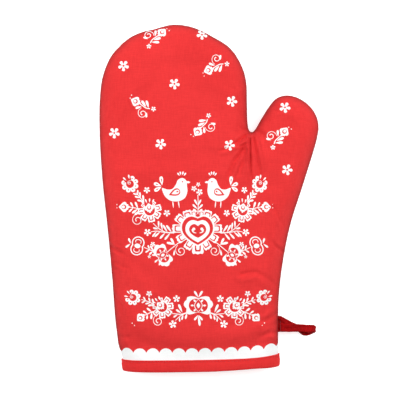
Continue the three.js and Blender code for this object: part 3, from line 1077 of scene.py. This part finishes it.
def mirrored(motif, axis_x):
    """The motif and its mirror image about a line x = axis_x."""
    return motif + [((p * (-1, 1) + (2 * axis_x, 0))[::-1], is_white) for p, is_white in motif]


def oval(length, width, x=0.0, y=0.0, degrees=0.0, corners=16):
    t = np.linspace(0, 2 * math.pi, corners, endpoint=False)
    return turned(np.stack([length / 2 * np.cos(t), width / 2 * np.sin(t)], axis=1), x, y,
                  degrees)


def disc(radius, x=0.0, y=0.0, corners=16):
    return oval(2 * radius, 2 * radius, x, y, 0, corners)


def drop(length, width, x=0.0, y=0.0, degrees=0.0):
    """A teardrop: its point at x, y and its round end away from there."""
    t = np.linspace(0, 2 * math.pi, 16, endpoint=False)
    shape = np.stack([length * (1 - np.cos(t)) / 2,
                      0.62 * width * np.sin(t) * np.sin(t / 2) ** 1.3], axis=1)
    return turned(shape, x, y, degrees)


def leaf(length, width, x=0.0, y=0.0, degrees=0.0):
    """A leaf with a point at both ends."""
    t = np.linspace(0, 1, 8)
    bow = width / 2 * np.sin(math.pi * t)
    return turned(np.vstack([np.stack([length * t, -bow], axis=1),
                             np.stack([length * t, bow], axis=1)[-2:0:-1]]), x, y, degrees)


def stroke(path, start_width, end_width):
    """A line drawn with a pen whose width changes along it."""
    p = np.asarray(path, float)
    n = inward(p) * np.linspace(start_width, end_width, len(p))[:, None] / 2
    return np.vstack([p + n, (p - n)[::-1]])


def stem(points, start_width=0.7, end_width=0.55):
    return stroke(spline(points, 5), start_width, end_width)


def heart(width, height, x=0.0, y=0.0, cleft=0.86):
    """A heart: cleft is how high its notch reaches."""
    right = spline([(0, cleft), (0.15, 0.4 * cleft + 0.58), (0.4, 1.0), (0.72, 0.87), (0.94, 0.55),
                    (1.0, 0.2), (0.93, -0.14), (0.69, -0.49), (0.35, -0.78), (0, -1)], 3)
    whole = np.vstack([right, (right * (-1, 1))[-2:0:-1]])
    return turned(whole * (width / 2, height / 2), x, y)


def both_sides(half, *tip):
    """The points of one side of the X axis, the tip's, and the other side's back."""
    return [*half, *tip, *[(x, -y) for x, y in half[::-1]]]


def white(*polygons):
    return [(p, True) for p in polygons]


def red(*polygons):
    return [(p, False) for p in polygons]


def spiral(radius, pen=0.75):
    """A curl round the origin that winds in from a long tail on the +X side."""
    t = np.linspace(0, 1, 24)
    r = radius * (0.32 + 0.78 * (1 - t) ** 0.8 + 0.35 * (1 - t) ** 8)
    a = np.radians(485) * t
    path = np.stack([r * np.cos(a), r * np.sin(a)], axis=1)
    return white(stroke(path, 0.6 * pen, pen), disc(0.8 * pen, *path[-1], corners=8))


# ---------------------------------------------------------------- print motifs


def daisy(radius):
    """Five petals, set a little apart, round a red dot."""
    motif = white(disc(0.3 * radius, corners=10))
    for k in range(5):
        a = 90 + 72 * k
        x, y = away(0.56 * radius, a)
        motif += white(oval(0.8 * radius, 0.44 * radius, x, y, a, 12))
        motif += white(oval(0.44 * radius, 0.56 * radius, 1.28 * x, 1.28 * y, a, 12))
    return motif + red(disc(0.19 * radius, corners=8))


def tulip(size):
    """A bud like a shield, pointed along +X, with steps at its stem and a crescent eye."""
    half = [(-1.05, 0.12), (-0.78, 0.26), (-0.78, 0.5), (-0.5, 0.56), (-0.4, 0.84), (-0.1, 0.98),
            (0.2, 0.88), (0.62, 0.46)]
    bud = spline(both_sides(half, (1.0, 0)), 3, closed=True)
    s = size / 2
    return white(bud * s) + red(disc(0.46 * s, 0.04 * s)) + white(disc(0.29 * s, 0.14 * s))


def dots(distance):
    """Two dots side by side, this far along +X."""
    return white(*[disc(0.42, distance, y, corners=8) for y in (1.3, -1.3)])


def sprig():
    """The scattered sprig: a small flower at the origin, a stem along +X with leaves and a
    curl, and a bud at its end."""
    motif = placed(daisy(2.1), 0, 0, 20)
    motif += white(stem([(2.8, 0.9), (5.5, 1.6), (9, 1.0), (12.5, 0.2)], 0.75, 0.7))
    motif += white(drop(6.2, 2.3, 6.2, 0.8, -32), drop(6.4, 2.3, 3.9, 0.8, -50))
    motif += white(drop(5.2, 2.1, 9.6, 1.8, 40), drop(4.2, 1.8, 4.0, 4.6, 108))
    motif += placed(spiral(3.3, 0.65), 6.6, 6.8, -55)
    motif += placed(tulip(8.0), 15.6, 0)
    return motif + placed(dots(20.6), 0, -2.0, 0)


def leaf_row(path, count, length, width, angle, first=0.15, last=0.9, sides=(1, -1)):
    """A stem with drops standing out from it on one side or both, smaller towards its end."""
    line = spline(path, 8)
    motif = white(stroke(line, 0.75, 0.5))
    t = np.gradient(line, axis=0)
    for share in np.linspace(first, last, count):
        i = int(share * (len(line) - 1))
        heading = math.degrees(math.atan2(t[i, 1], t[i, 0]))
        scale = 1 - 0.35 * (share - first)
        motif += [(drop(length * scale, width * scale, *line[i], heading + side * angle), True)
                  for side in sides]
    return motif


def lobe(width, depth, arch=0.37):
    """A petal round a flower, pointed along +X: a square end in three shallow waves, and a
    thin arch drawn in it that opens to the flower's middle."""
    half = [(-0.5, 0.42), (-0.05, 0.46), (0.26, 0.5), (0.45, 0.4), (0.41, 0.2)]
    edge = spline(both_sides(half, (0.5, 0)), 3, closed=True)
    pen = 0.12 * width
    bow = np.array(both_sides([(-0.44, 1), (0.06, 1.0), (0.22, 0.8)]))
    rest = np.array(both_sides([(-0.54, 1.0), (0.04, 1.0), (0.19, 0.75)]))
    return (white(edge * (depth, width)) + red(bow * (depth, arch * width))
            + white(rest * (depth, 1) * (1, arch * width - pen) - (pen, 0)))


def ring_flower(radius, face=118.0):
    """A round flower: seven petals, each with a dot, round an open red middle with a curl.
    Two stamens stand in the gap towards face."""
    motif = white(disc(0.66 * radius, corners=28))
    for k in range(7):
        a = face + 50 + 43.3 * k
        x, y = away(0.76 * radius, a)
        motif += white(oval(0.5 * radius, 0.54 * radius, x, y, a, 12))
        motif += red(oval(0.16 * radius, 0.14 * radius, 0.92 * x, 0.92 * y, a, 8))
    motif += red(disc(0.46 * radius, corners=22), drop(0.9 * radius, radius, 0, 0, face))
    for a in (face - 20, face + 18):
        motif += white(drop(0.52 * radius, 0.2 * radius, *away(0.58 * radius, a), a))
    return motif + placed(spiral(0.2 * radius, 0.45), *away(0.16 * radius, face), face - 60)


def rosette(radius, face=101.0):
    """A large side rosette: seven petals round an open red middle, a bud in it that points
    towards face, and stamens in the gap there."""
    motif = white(disc(0.6 * radius, corners=28))
    for k, size in enumerate((0.36, 0.5, 0.54, 0.56, 0.56, 0.52, 0.36)):
        a = face + 38 + 47.3 * k
        place = away((0.69 + 0.1 * (size > 0.4)) * radius, a)
        motif += placed(lobe((size + 0.04) * radius, size * radius, 0.3), *place, a)
    motif += red(disc(0.46 * radius, corners=24), drop(0.95 * radius, 0.9 * radius, 0, 0, face))
    for a in (-30, -10, 10, 30):
        place = away(0.66 * radius, face + a)
        motif += white(drop(0.36 * radius, 0.14 * radius, *place, face + 1.2 * a))
    return motif + placed(tulip(0.8 * radius), *away(0.2 * radius, face), face)


def bloom(width, height):
    """A full bloom, upright: three petals on each side round two red circles that cross, and
    an almond with a pip where they do."""
    w, h = width / 2, height / 2
    half = [(0, 0.78), (0.2, 0.92), (0.5, 1.0), (0.74, 0.9), (0.82, 0.58), (0.93, 0.44),
            (1.0, 0.1), (0.92, -0.18), (0.82, -0.32), (0.82, -0.78), (0.64, -0.98),
            (0.36, -0.9), (0.1, -0.76)]
    edge = spline([*half, *[(-x, y) for x, y in half[:0:-1]]], 3, closed=True)
    motif = white(edge * (w, h))
    motif += red(*[oval(0.93 * w, 1.5 * h, side * 0.19 * w, 0, 0, 24) for side in (-1, 1)])
    motif += white(leaf(1.44 * h, 0.58 * w, 0, -0.72 * h, 90))
    motif += red(leaf(1.34 * h, 0.49 * w, 0, -0.67 * h, 90))
    motif += white(leaf(0.62 * h, 0.24 * w, 0, -0.31 * h, 90))
    for side in (-1, 1):
        for y, a in ((0.36, 52), (0, 0), (-0.36, -52)):
            x = side * (0.3 - 0.12 * abs(y) / 0.36) * w
            motif += white(leaf(0.24 * w, 0.13 * w, x, y * h, a if side > 0 else 180 - a))
    return motif


def apple(width, height):
    """The outline of two circles, one over the other, round a small bud."""
    pen = 0.85
    r = width / 2
    apart = height / 2 - r
    motif = white(disc(r, 0, apart, 24), disc(r, 0, -apart, 24))
    motif += red(disc(r - pen, 0, apart, 22), disc(r - pen, 0, -apart, 22))
    for side in (-1, 1):
        motif += white(oval(0.5 * width, 0.26 * height, 0, side * 0.23 * height, 0, 14))
        motif += red(oval(0.4 * width, 0.2 * height, 0, side * 0.22 * height, 0, 14))
    return motif + red(disc(0.3 * width)) + white(oval(0.48 * width, 0.24 * height))


def bird():
    """A plump bird that looks along +X, with its middle at the origin."""
    body = spline([(-10.4, 3.8), (-6.2, 2.6), (-2.4, 3.0), (0.6, 6.4), (2.4, 10.4),
                   (6.0, 11.9), (9.2, 9.6), (9.6, 5.6), (9.9, 1.0), (8.0, -4.0), (3.4, -6.6),
                   (-2.6, -6.6), (-7.4, -3.6), (-9.6, 0.2)], 5, closed=True)
    motif = white(body, leaf(4.0, 1.7, 8.4, 8.6, -2))
    motif += white(leaf(6.4, 0.9, -1.9, -6.0, -84), leaf(6.4, 0.9, 2.6, -6.0, -82))
    motif += red(disc(0.6, 6.0, 8.9, 10))
    motif += red(drop(10.0, 6.6, -5.2, -1.9, 22)) + white(drop(6.8, 4.0, -2.9, -1.0, 22))
    motif += red(drop(2.2, 1.4, 0.7, 0.5, 22))
    for a in (52, 78, 104, 128):
        motif += white(drop(3.0, 1.4, *away(2.6, a, 5.4, 11.6), a))
    for a, length in ((97, 7.4), (160, 6.4), (211, 6.6)):
        x, y = away(0.7, a, -10.3, 5.2)
        motif += white(drop(length, 3.4, x, y, a))
        motif += red(drop(0.42 * length, 0.9, *away(0.34 * length, a, x, y), a))
    return motif


# The petals of the heart's ring on its left: place, the way they point, width and depth.
HEART_PETALS = [(-3.3, 13.7, 96, 3.6, 4.4), (-8.5, 12.8, 104, 6.8, 6.4),
                (-14.7, 8.8, 141, 6.8, 7.2), (-17.1, 1.0, 180, 6.9, 7.6),
                (-13.5, -6.7, 211, 6.5, 7.6), (-7.3, -12.4, 238, 6.5, 7.6)]


def heart_rosette():
    """The nested hearts in a ring of petals."""
    petals = []
    for x, y, way, width, depth in HEART_PETALS:
        petals += placed(lobe(width, depth), x, y, way)
    motif = mirrored(petals, 0) + placed(lobe(9.4, 8.4, 0.26), 0, -15.6, 270)
    motif += white(heart(28.4, 25.6, 0, -0.8)) + red(heart(25.8, 23.0, 0, -0.7))
    motif += white(heart(20.2, 18.0, 0, -1.1, 0.88)) + red(heart(14.1, 11.2, 0, -0.9, 0.7))
    tail = spline([(4.4, 0.5), (4.2, -1.0), (3.1, -2.1), (1.4, -2.5)], 4)
    curl = white(disc(1.25, 3.3, 0.6), stroke(tail, 1.4, 0.5)) + red(disc(0.45, 2.4, -0.3, 8))
    return motif + mirrored(curl, 0)


CENTRE_X = -8.9
CENTRE_Y = -25.6


def centre_half():
    """The left half of the large motif, and what stands on its middle line."""
    m = placed(bird(), -27.3, 4.2)
    m += placed(rosette(9.3, 101), -47.7, -9.8)
    m += leaf_row([(-52, -3.5), (-55.5, 0.5), (-58.6, 4.4)], 3, 5.4, 1.8, 34, 0.1, 0.8)
    m += placed(ring_flower(6.9, 118), -63.5, 11.2)
    m += leaf_row([(-55.5, -9.0), (-59.5, -8.0), (-64.5, -7.2)], 2, 6.0, 1.9, 52, 0.2, 0.66)
    m += white(drop(6.2, 2.0, -54.6, -10.0, 214))
    m += placed(tulip(8.4), -68.2, -7.2, 180)
    m += placed(dots(74.0), 0, -6.6, 180)
    m += placed(daisy(2.8), -49.9, 6.4, 180) + placed(daisy(2.9), -33.8, -12.1, 180)
    m += leaf_row([(-28.0, -28.0), (-35, -27.4), (-41.0, -24.0), (-44.8, -20.4)], 4, 7.6, 1.9,
                  52, 0.1, 0.66, (-1,))
    m += leaf_row([(-28.0, -28.2), (-36, -27.6), (-42, -26.6), (-46.6, -27.2)], 4, 7.2, 1.9, 54,
                  0.14, 0.68, (1,))
    m += white(drop(4.6, 1.7, -40.5, -25.0, 168))
    m += placed(daisy(3.1), -49.4, -27.6, 180)
    m += white(drop(6.0, 2.1, -27.6, -37.4, 122), drop(7.4, 2.2, -26.8, -37.4, 168))
    m += white(stem([(-24.4, -36.0), (-28.6, -39.4), (-33.4, -43.4)]))
    m += placed(bloom(19.4, 11.2), -37.1, -45.9, 121)
    m += white(*[drop(4.0, 1.5, *away(4.8, a, -37.1, -45.9), a)
                 for a in (180, 222, 250)])
    m += leaf_row([(-42.4, -42.6), (-47.0, -41.9), (-52.4, -39.6)], 2, 4.6, 1.6, 50, 0.25, 0.6)
    m += placed(apple(10.2, 15.4), -57.5, -38.5, -13)
    m += white(drop(4.6, 1.8, -62.9, -36.6, 112), drop(4.8, 1.8, -63.2, -36.8, 218))
    m += placed(daisy(2.2), -45.2, -37.2, 180) + placed(daisy(1.4), -48.0, -47.2, 0)
    m += placed(spiral(3.7, 0.65), -22.6, -42.6, 118)
    m += white(drop(4.8, 1.6, -27.6, -41.4, 262))
    for y, length, way in ((-11.4, 4.4, 146), (-9.0, 5.6, 136), (-6.0, 5.4, 118)):
        m += white(drop(length, 1.7, CENTRE_X - 0.2, y, way))
    return m


# The cloth is drawn in towards the pleats of the crotch, and the print's right with it.
DRAWN_IN = 0.09
DRAWN_IN_FROM_Y = -72
DRAWN_IN_TO_Y = 14


def drawn_in(motif):
    """The motif with its right side moved towards its middle line, most at the top."""
    out = []
    for polygon, is_white in motif:
        x, y = polygon.T
        share = DRAWN_IN * smooth(y, DRAWN_IN_FROM_Y, DRAWN_IN_TO_Y) * (x > CENTRE_X)
        out.append((np.stack([x - share * (x - CENTRE_X), y], axis=1), is_white))
    return out


def centre_motif():
    motif = mirrored(centre_half(), CENTRE_X) + placed(spiral(3.9, 0.65), -57.4, -17.8, 77)
    motif += white(stem([(CENTRE_X, -12.9), (CENTRE_X + 0.3, -6), (CENTRE_X, 2.5)]))
    motif += placed(daisy(2.4), -12.0, 7.6, 186) + placed(daisy(1.9), -8.5, 10.9, 180)
    motif += placed(daisy(2.9), -7.4, 4.8, 172)
    return drawn_in(motif + placed(heart_rosette(), CENTRE_X, CENTRE_Y))


BORDER_X = -8.5


def border_half():
    """The left half of the row of flowers over the cuff."""
    m = placed(rosette(8.8, 139), -37.7, -87.6)
    m += leaf_row([(-43.8, -86.0), (-47.5, -83.8), (-54.4, -81.6)], 3, 4.9, 1.7, 42, 0.1, 0.8)
    m += placed(ring_flower(6.3, 152), -61.2, -80.0)
    m += leaf_row([(-44.6, -91.2), (-48.0, -92.6), (-52.0, -94.4)], 2, 5.2, 1.8, 60, 0.2, 0.7)
    m += white(drop(5.2, 1.8, -45.8, -92.2, 262))
    m += placed(tulip(7.4), -54.9, -96.2, 222)
    m += placed(dots(3.0), -58.6, -99.4, 224)
    m += placed(spiral(3.4, 0.65), -40.8, -99.0, 118)
    m += placed(daisy(3.0), -26.1, -81.0, 0) + placed(daisy(2.5), -48.1, -76.9, 180)
    m += placed(daisy(3.3), -29.0, -101.4, 8)
    m += leaf_row([(-17.6, -92.2), (-22.5, -94.4), (-27.0, -98.4)], 3, 5.2, 1.8, 52, 0.06, 0.66,
                  (1,))
    m += white(drop(7.4, 2.2, -21.4, -92.2, 114), drop(5.0, 1.8, -22.4, -92.6, 144))
    m += white(stem([(-17.8, -92.2), (-22.5, -93.4), (-29.6, -92.8)]))
    m += white(drop(4.2, 1.5, -25.0, -93.6, 212))
    m += white(drop(6.2, 2.0, BORDER_X, -80.0, 122), drop(5.4, 1.8, BORDER_X, -94.0, 232))
    return m


def border_motif():
    motif = mirrored(border_half(), BORDER_X)
    motif += white(drop(8.4, 2.2, BORDER_X, -94.4, 278))
    return motif + placed(bloom(23.5, 14.8), BORDER_X, -86.4)


# Places of the scattered flowers and sprigs on the back. A sprig has its flower's place and
# the way it points, and says whether its curl is on its right.
DAISIES = [(-68.7, 106.3), (-27.8, 91.8), (18.4, 77.8), (-76.1, 52.3), (-38.9, 43.5),
           (16.5, 42.5), (-5.6, 132.0), (61.2, 72.9), (62.8, 22.7)]
SPRIGS = [(-48.3, 122.0, 48, False), (14.5, 107.9, 199, True), (-44.6, 71.6, 157, False),
          (-0.3, 66.3, 236, False), (51.5, 40.7, 54, False)]
PALM_DAISIES = [(-66, 96), (-22, 112), (14, 88), (-72, 28), (-30, 58), (6, 30), (-50, -20),
                (24, -18), (-8, -58), (44, -62), (-64, -72), (62, 30), (-32, -104)]
PALM_SPRIGS = [(-48, 112, 60, False), (-50, 52, 150, False), (10, 60, 230, True),
               (-12, 4, 70, False), (-52, -50, 160, True), (20, -54, 20, False),
               (58, 48, 66, False), (2, -96, 200, False)]


def scattered(daisies, sprigs):
    """Each flower and sprig as a motif of its own."""
    motifs = [placed(daisy(4.65), x, y, 180 + 6 * (i % 3)) for i, (x, y) in enumerate(daisies)]
    return motifs + [placed(sprig(), *sprig_row) for sprig_row in sprigs]


# ---------------------------------------------------------------- print films

# The ink's film reaches this far over and under the cloth's face, follows it at a grid of
# this spacing, and stops short of the seam.
FILM_ABOVE = 0.1
FILM_BELOW = 0.14
FILM_GRID = 1.8
FILM_STAGGER = 0.31
FILM_FROM_SEAM = 0.9
BORDER_LINE = np.vstack([seam_line(), seam_line()[:1]])


def white_triangles(motif):
    """The white parts of a motif as flat points and triangles."""
    points, polygons = [], []
    for polygon, _ in motif:
        area = np.sum(polygon[:, 0] * np.roll(polygon[:, 1], -1)
                      - np.roll(polygon[:, 0], -1) * polygon[:, 1])
        ordered = polygon if area > 0 else polygon[::-1]
        polygons.append(list(range(len(points), len(points) + len(ordered))))
        points.extend(ordered)
    low, high = np.min(points, axis=0), np.max(points, axis=0)
    points += [(x + FILM_STAGGER * (j % 2), y) for j, y in enumerate(
        np.arange(low[1], high[1], FILM_GRID)) for x in np.arange(low[0], high[0], FILM_GRID)]
    flat, _, faces, _, _, sources = delaunay_2d_cdt(
        [Vector(p) for p in points], [], polygons, 1, 1e-4)
    flat = np.array([tuple(p) for p in flat])
    kept = [f for f, source in zip(faces, sources) if source and motif[max(source)][1]]
    centres = np.array([flat[list(f)].mean(axis=0) for f in kept])
    good = inside(centres, BORDER_LINE)
    good &= np.abs(from_line(centres, BORDER_LINE)[0]) > FILM_FROM_SEAM
    return flat, [tuple(f) for f, ok in zip(kept, good) if ok]


def skin(points, triangles, surface_place):
    """A thin closed film over a surface, from flat points and the faces between them."""
    used = sorted({i for f in triangles for i in f})
    number = {old: new for new, old in enumerate(used)}
    faces = [tuple(number[i] for i in f) for f in triangles]
    over, under = [], []
    for i in used:
        place, normal = surface_place(points[i])
        over.append(place + normal * FILM_ABOVE)
        under.append(place - normal * FILM_BELOW)
    count = len(used)
    edges = dict.fromkeys(edge for f in faces for edge in zip(f, f[1:] + f[:1]))
    rim = [(a, b) for a, b in edges if (b, a) not in edges]
    faces = faces + [tuple(count + i for i in f[::-1]) for f in faces]
    faces += [(b, a, count + a, count + b) for a, b in rim]
    return over + under, faces


# The print is laid out at the seam plane's scale as the camera sees it. The face that it lies
# on is nearer, at about this share of the distance.
PRINT_SCALE = 0.988


def on_surface(tree, side):
    """The place and normal of the outer face over a plan point, in millimetres."""
    def find(point):
        start = Vector((point[0] * M, point[1] * M, CLEAR_IN_METRES * side))
        place, normal, *_ = tree.ray_cast(start, Vector((0, 0, -side)))
        if place is None:
            place, normal, *_ = tree.find_nearest(start)
        normal = normal if normal.z * side > 0 else -normal
        return np.array(place) / M, np.array(normal)
    return find


def sharp_edges(obj):
    """Keeps the film's thin edge from bending the shading of its face."""
    mesh = obj.data
    normals = [p.normal.copy() for p in mesh.polygons]
    beside = {}
    for p in mesh.polygons:
        for key in p.edge_keys:
            beside.setdefault(key, []).append(p.index)
    for edge in mesh.edges:
        pair = beside.get(edge.key, [])
        edge.use_edge_sharp = len(pair) != 2 or normals[pair[0]].dot(normals[pair[1]]) < 0.5


def print_film(name, motifs, face, side):
    find = on_surface(face, side)
    parts = []
    for motif in motifs:
        motif = [((polygon - VIEW_CENTRE) * PRINT_SCALE + VIEW_CENTRE, is_white)
                 for polygon, is_white in motif]
        points, triangles = white_triangles(motif)
        parts.append(skin(points, facing(triangles, side), find))
    points, faces = merged(parts)
    obj = new_object(name, points, faces, INK)
    sharp_edges(obj)
    return obj


# The band: a scallop's width, where one cusp is, the depths of the scallops' tops and of the
# band's lower edge, how much deeper the cusps are, and how nearly round each scallop is.
SCALLOP = 10.4
CUSP_X = -60.4
BAND_TOP = 1.7
BAND_BOTTOM = 11.5
BAND_CUSP = 3.6
SCALLOP_ROUND = 0.93
# Its rows of points, its points to a scallop, its ends at its top, and how far in from a seam
# its columns bend to follow the seam.
BAND_ROWS = 6
BAND_STEPS = 10
BAND_LEFT, BAND_RIGHT = (cuff_side(line, BAND_TOP) for line in (CUFF_LEFT, CUFF_RIGHT))
BAND_BEND = 14


def band_columns():
    """The x of the band's columns at its top: ten to a scallop, and closer by the seams."""
    count = 2 + int((BAND_RIGHT - CUSP_X) / SCALLOP)
    steps = CUSP_X + SCALLOP * np.arange(-2 * BAND_STEPS, BAND_STEPS * count) / BAND_STEPS
    rim = np.array([0.2, 0.5, 1.0, 1.6, 2.4])
    steps = steps[(steps > BAND_LEFT + 3) & (steps < BAND_RIGHT - 3)]
    return np.concatenate([BAND_LEFT + rim, steps, BAND_RIGHT - rim[::-1]])


def band_film(name, face, side):
    """The white scalloped band over the binding, on one panel from seam to seam."""
    columns = band_columns()
    phase = np.mod((columns - CUSP_X) / SCALLOP, 1) - 0.5
    bend = np.sqrt(1 - (2 * SCALLOP_ROUND * phase) ** 2)
    tops = BAND_TOP + BAND_CUSP * (1 - bend) / (1 - math.sqrt(1 - SCALLOP_ROUND ** 2))
    points = []
    for row in range(BAND_ROWS):
        for x, top in zip(columns, tops):
            depth = top + (BAND_BOTTOM - top) * row / (BAND_ROWS - 1)
            left, right = (cuff_side(line, depth) for line in (CUFF_LEFT, CUFF_RIGHT))
            x += (left - BAND_LEFT) * (1 - smooth(x - BAND_LEFT, 0, BAND_BEND))
            x += (right - BAND_RIGHT) * (1 - smooth(BAND_RIGHT - x, 0, BAND_BEND))
            to_seam = min(x - left, right - x)
            z = DOME * fullness(depth) * layer_height(to_seam, 0)
            points.append((x, CUFF_TOP_Y + cuff_rise(x) - depth, side * z))
    points = np.array(points)
    faces = facing([(f[0], *f[:0:-1]) for f in quads(BAND_ROWS, len(columns))], side)

    def find(point):
        target = Vector(in_frame(point) * M)
        place, normal, *_ = face.find_nearest(target)
        return np.array(place) / M, np.array(normal)

    obj = new_object(name, *skin(points, faces, find), INK)
    sharp_edges(obj)
    return obj


back_print = print_film(
    "print_back", [centre_motif(), border_motif(), *scattered(DAISIES, SPRIGS)], back_face, 1)
palm_print = print_film("print_palm", scattered(PALM_DAISIES, PALM_SPRIGS), palm_face, -1)
back_band = band_film("print_band_back", back_face, 1)
palm_band = band_film("print_band_palm", palm_face, -1)

# ---------------------------------------------------------------- what each piece stands for

for piece, body, slot, node in (
        (back_panel, "mitt", "outer_cotton", "outer_back_panel"),
        (palm_panel, "mitt", "outer_cotton", "outer_palm_panel"),
        (batting_back, "mitt", "batting", "batting_back"),
        (batting_palm, "mitt", "batting", "batting_palm"),
        (lining_back, "mitt", "lining_cotton", "lining_back"),
        (lining_palm, "mitt", "lining_cotton", "lining_palm"),
        (outer_stitches, "mitt", "thread", "outer_seam_thread"),
        (lining_stitches, "mitt", "lining_thread", "lining_seam_thread"),
        (cuff_binding, "mitt", "binding_cotton", "cuff_binding"),
        (cuff_stitches, "mitt", "thread", "binding_stitch_thread"),
        (tack, "loop", "loop_thread", "loop_tack_thread")):
    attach(piece, body)
    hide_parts(node)

for film in (back_print, palm_print, back_band, palm_band):
    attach(film, "mitt")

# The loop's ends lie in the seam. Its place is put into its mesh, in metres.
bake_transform(loop)
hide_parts("hanging_loop")


def plan_area(line):
    """The area inside a plan line, in square metres."""
    x, y = line.T
    return abs(np.sum(x * np.roll(y, -1) - np.roll(x, -1) * y)) / 2 * M * M


# The cloth as cut: the outer panels end 6 mm outside the seam, and the linings inside it.
PANEL_CUT = plan_area(seam_line(-6.0))
LINING_CUT = plan_area(seam_line(1.0))

# ---------------------------------------------------------------- floor, camera and light

# The table gives off a little light of its own, so that the mitt's shadow on it is faint.
FLOOR_GLOW = 0.7


def white_floor():
    n = Nodes("floor_white")
    grain = n.noise(n.place, 140, 2)
    colour = n.mix(n.range(grain, 0.3, 0.7), (0.69, 0.69, 0.69), (0.71, 0.71, 0.71))
    n.put(n.shader.inputs["Emission Color"], WHITE)
    n.put(n.shader.inputs["Emission Strength"], FLOOR_GLOW)
    return n.finish(colour, n.bump(grain, 0.00005, 0.2), 0.9)


FLOOR_HALF = 1500
floor = new_object("floor", [(-FLOOR_HALF, -FLOOR_HALF, 0), (FLOOR_HALF, -FLOOR_HALF, 0),
                             (FLOOR_HALF, FLOOR_HALF, 0), (-FLOOR_HALF, FLOOR_HALF, 0)],
                   [(0, 1, 2, 3)], white_floor())

LENS = 100
SENSOR = 36
VIEW_WIDTH = 322
camera_data = bpy.data.cameras.new("camera")
camera_data.lens = LENS
camera_data.sensor_width = SENSOR
camera = bpy.data.objects.new("camera", camera_data)
camera.location = (VIEW_CENTRE[0] * M, VIEW_CENTRE[1] * M,
                   (SEAM_Z + VIEW_WIDTH * LENS / SENSOR) * M)
bpy.context.scene.collection.objects.link(camera)
bpy.context.scene.camera = camera


def area_light(name, place, size, watts):
    """A square soft light, placed and sized in metres, that looks at the mitt."""
    data = bpy.data.lights.new(name, "AREA")
    data.size = size
    data.energy = watts
    light = bpy.data.objects.new(name, data)
    light.location = place
    light.rotation_euler = (-Vector(place)).to_track_quat("-Z", "Y").to_euler()
    bpy.context.scene.collection.objects.link(light)


area_light("right_light", (0.62, 0.30, 0.62), 0.5, 5.9)
area_light("left_light", (-0.66, 0.22, 0.66), 0.5, 6.4)
area_light("top_light", (0.1, 0.25, 1.5), 0.9, 7.9)
WORLD_STRENGTH = 0.12
world = bpy.data.worlds.new("studio")
bpy.context.scene.world = world
world.use_nodes = True
background = world.node_tree.nodes["Background"]
background.inputs["Color"].default_value = (*WHITE, 1)
background.inputs["Strength"].default_value = WORLD_STRENGTH
bpy.context.scene.view_settings.view_transform = "Standard"
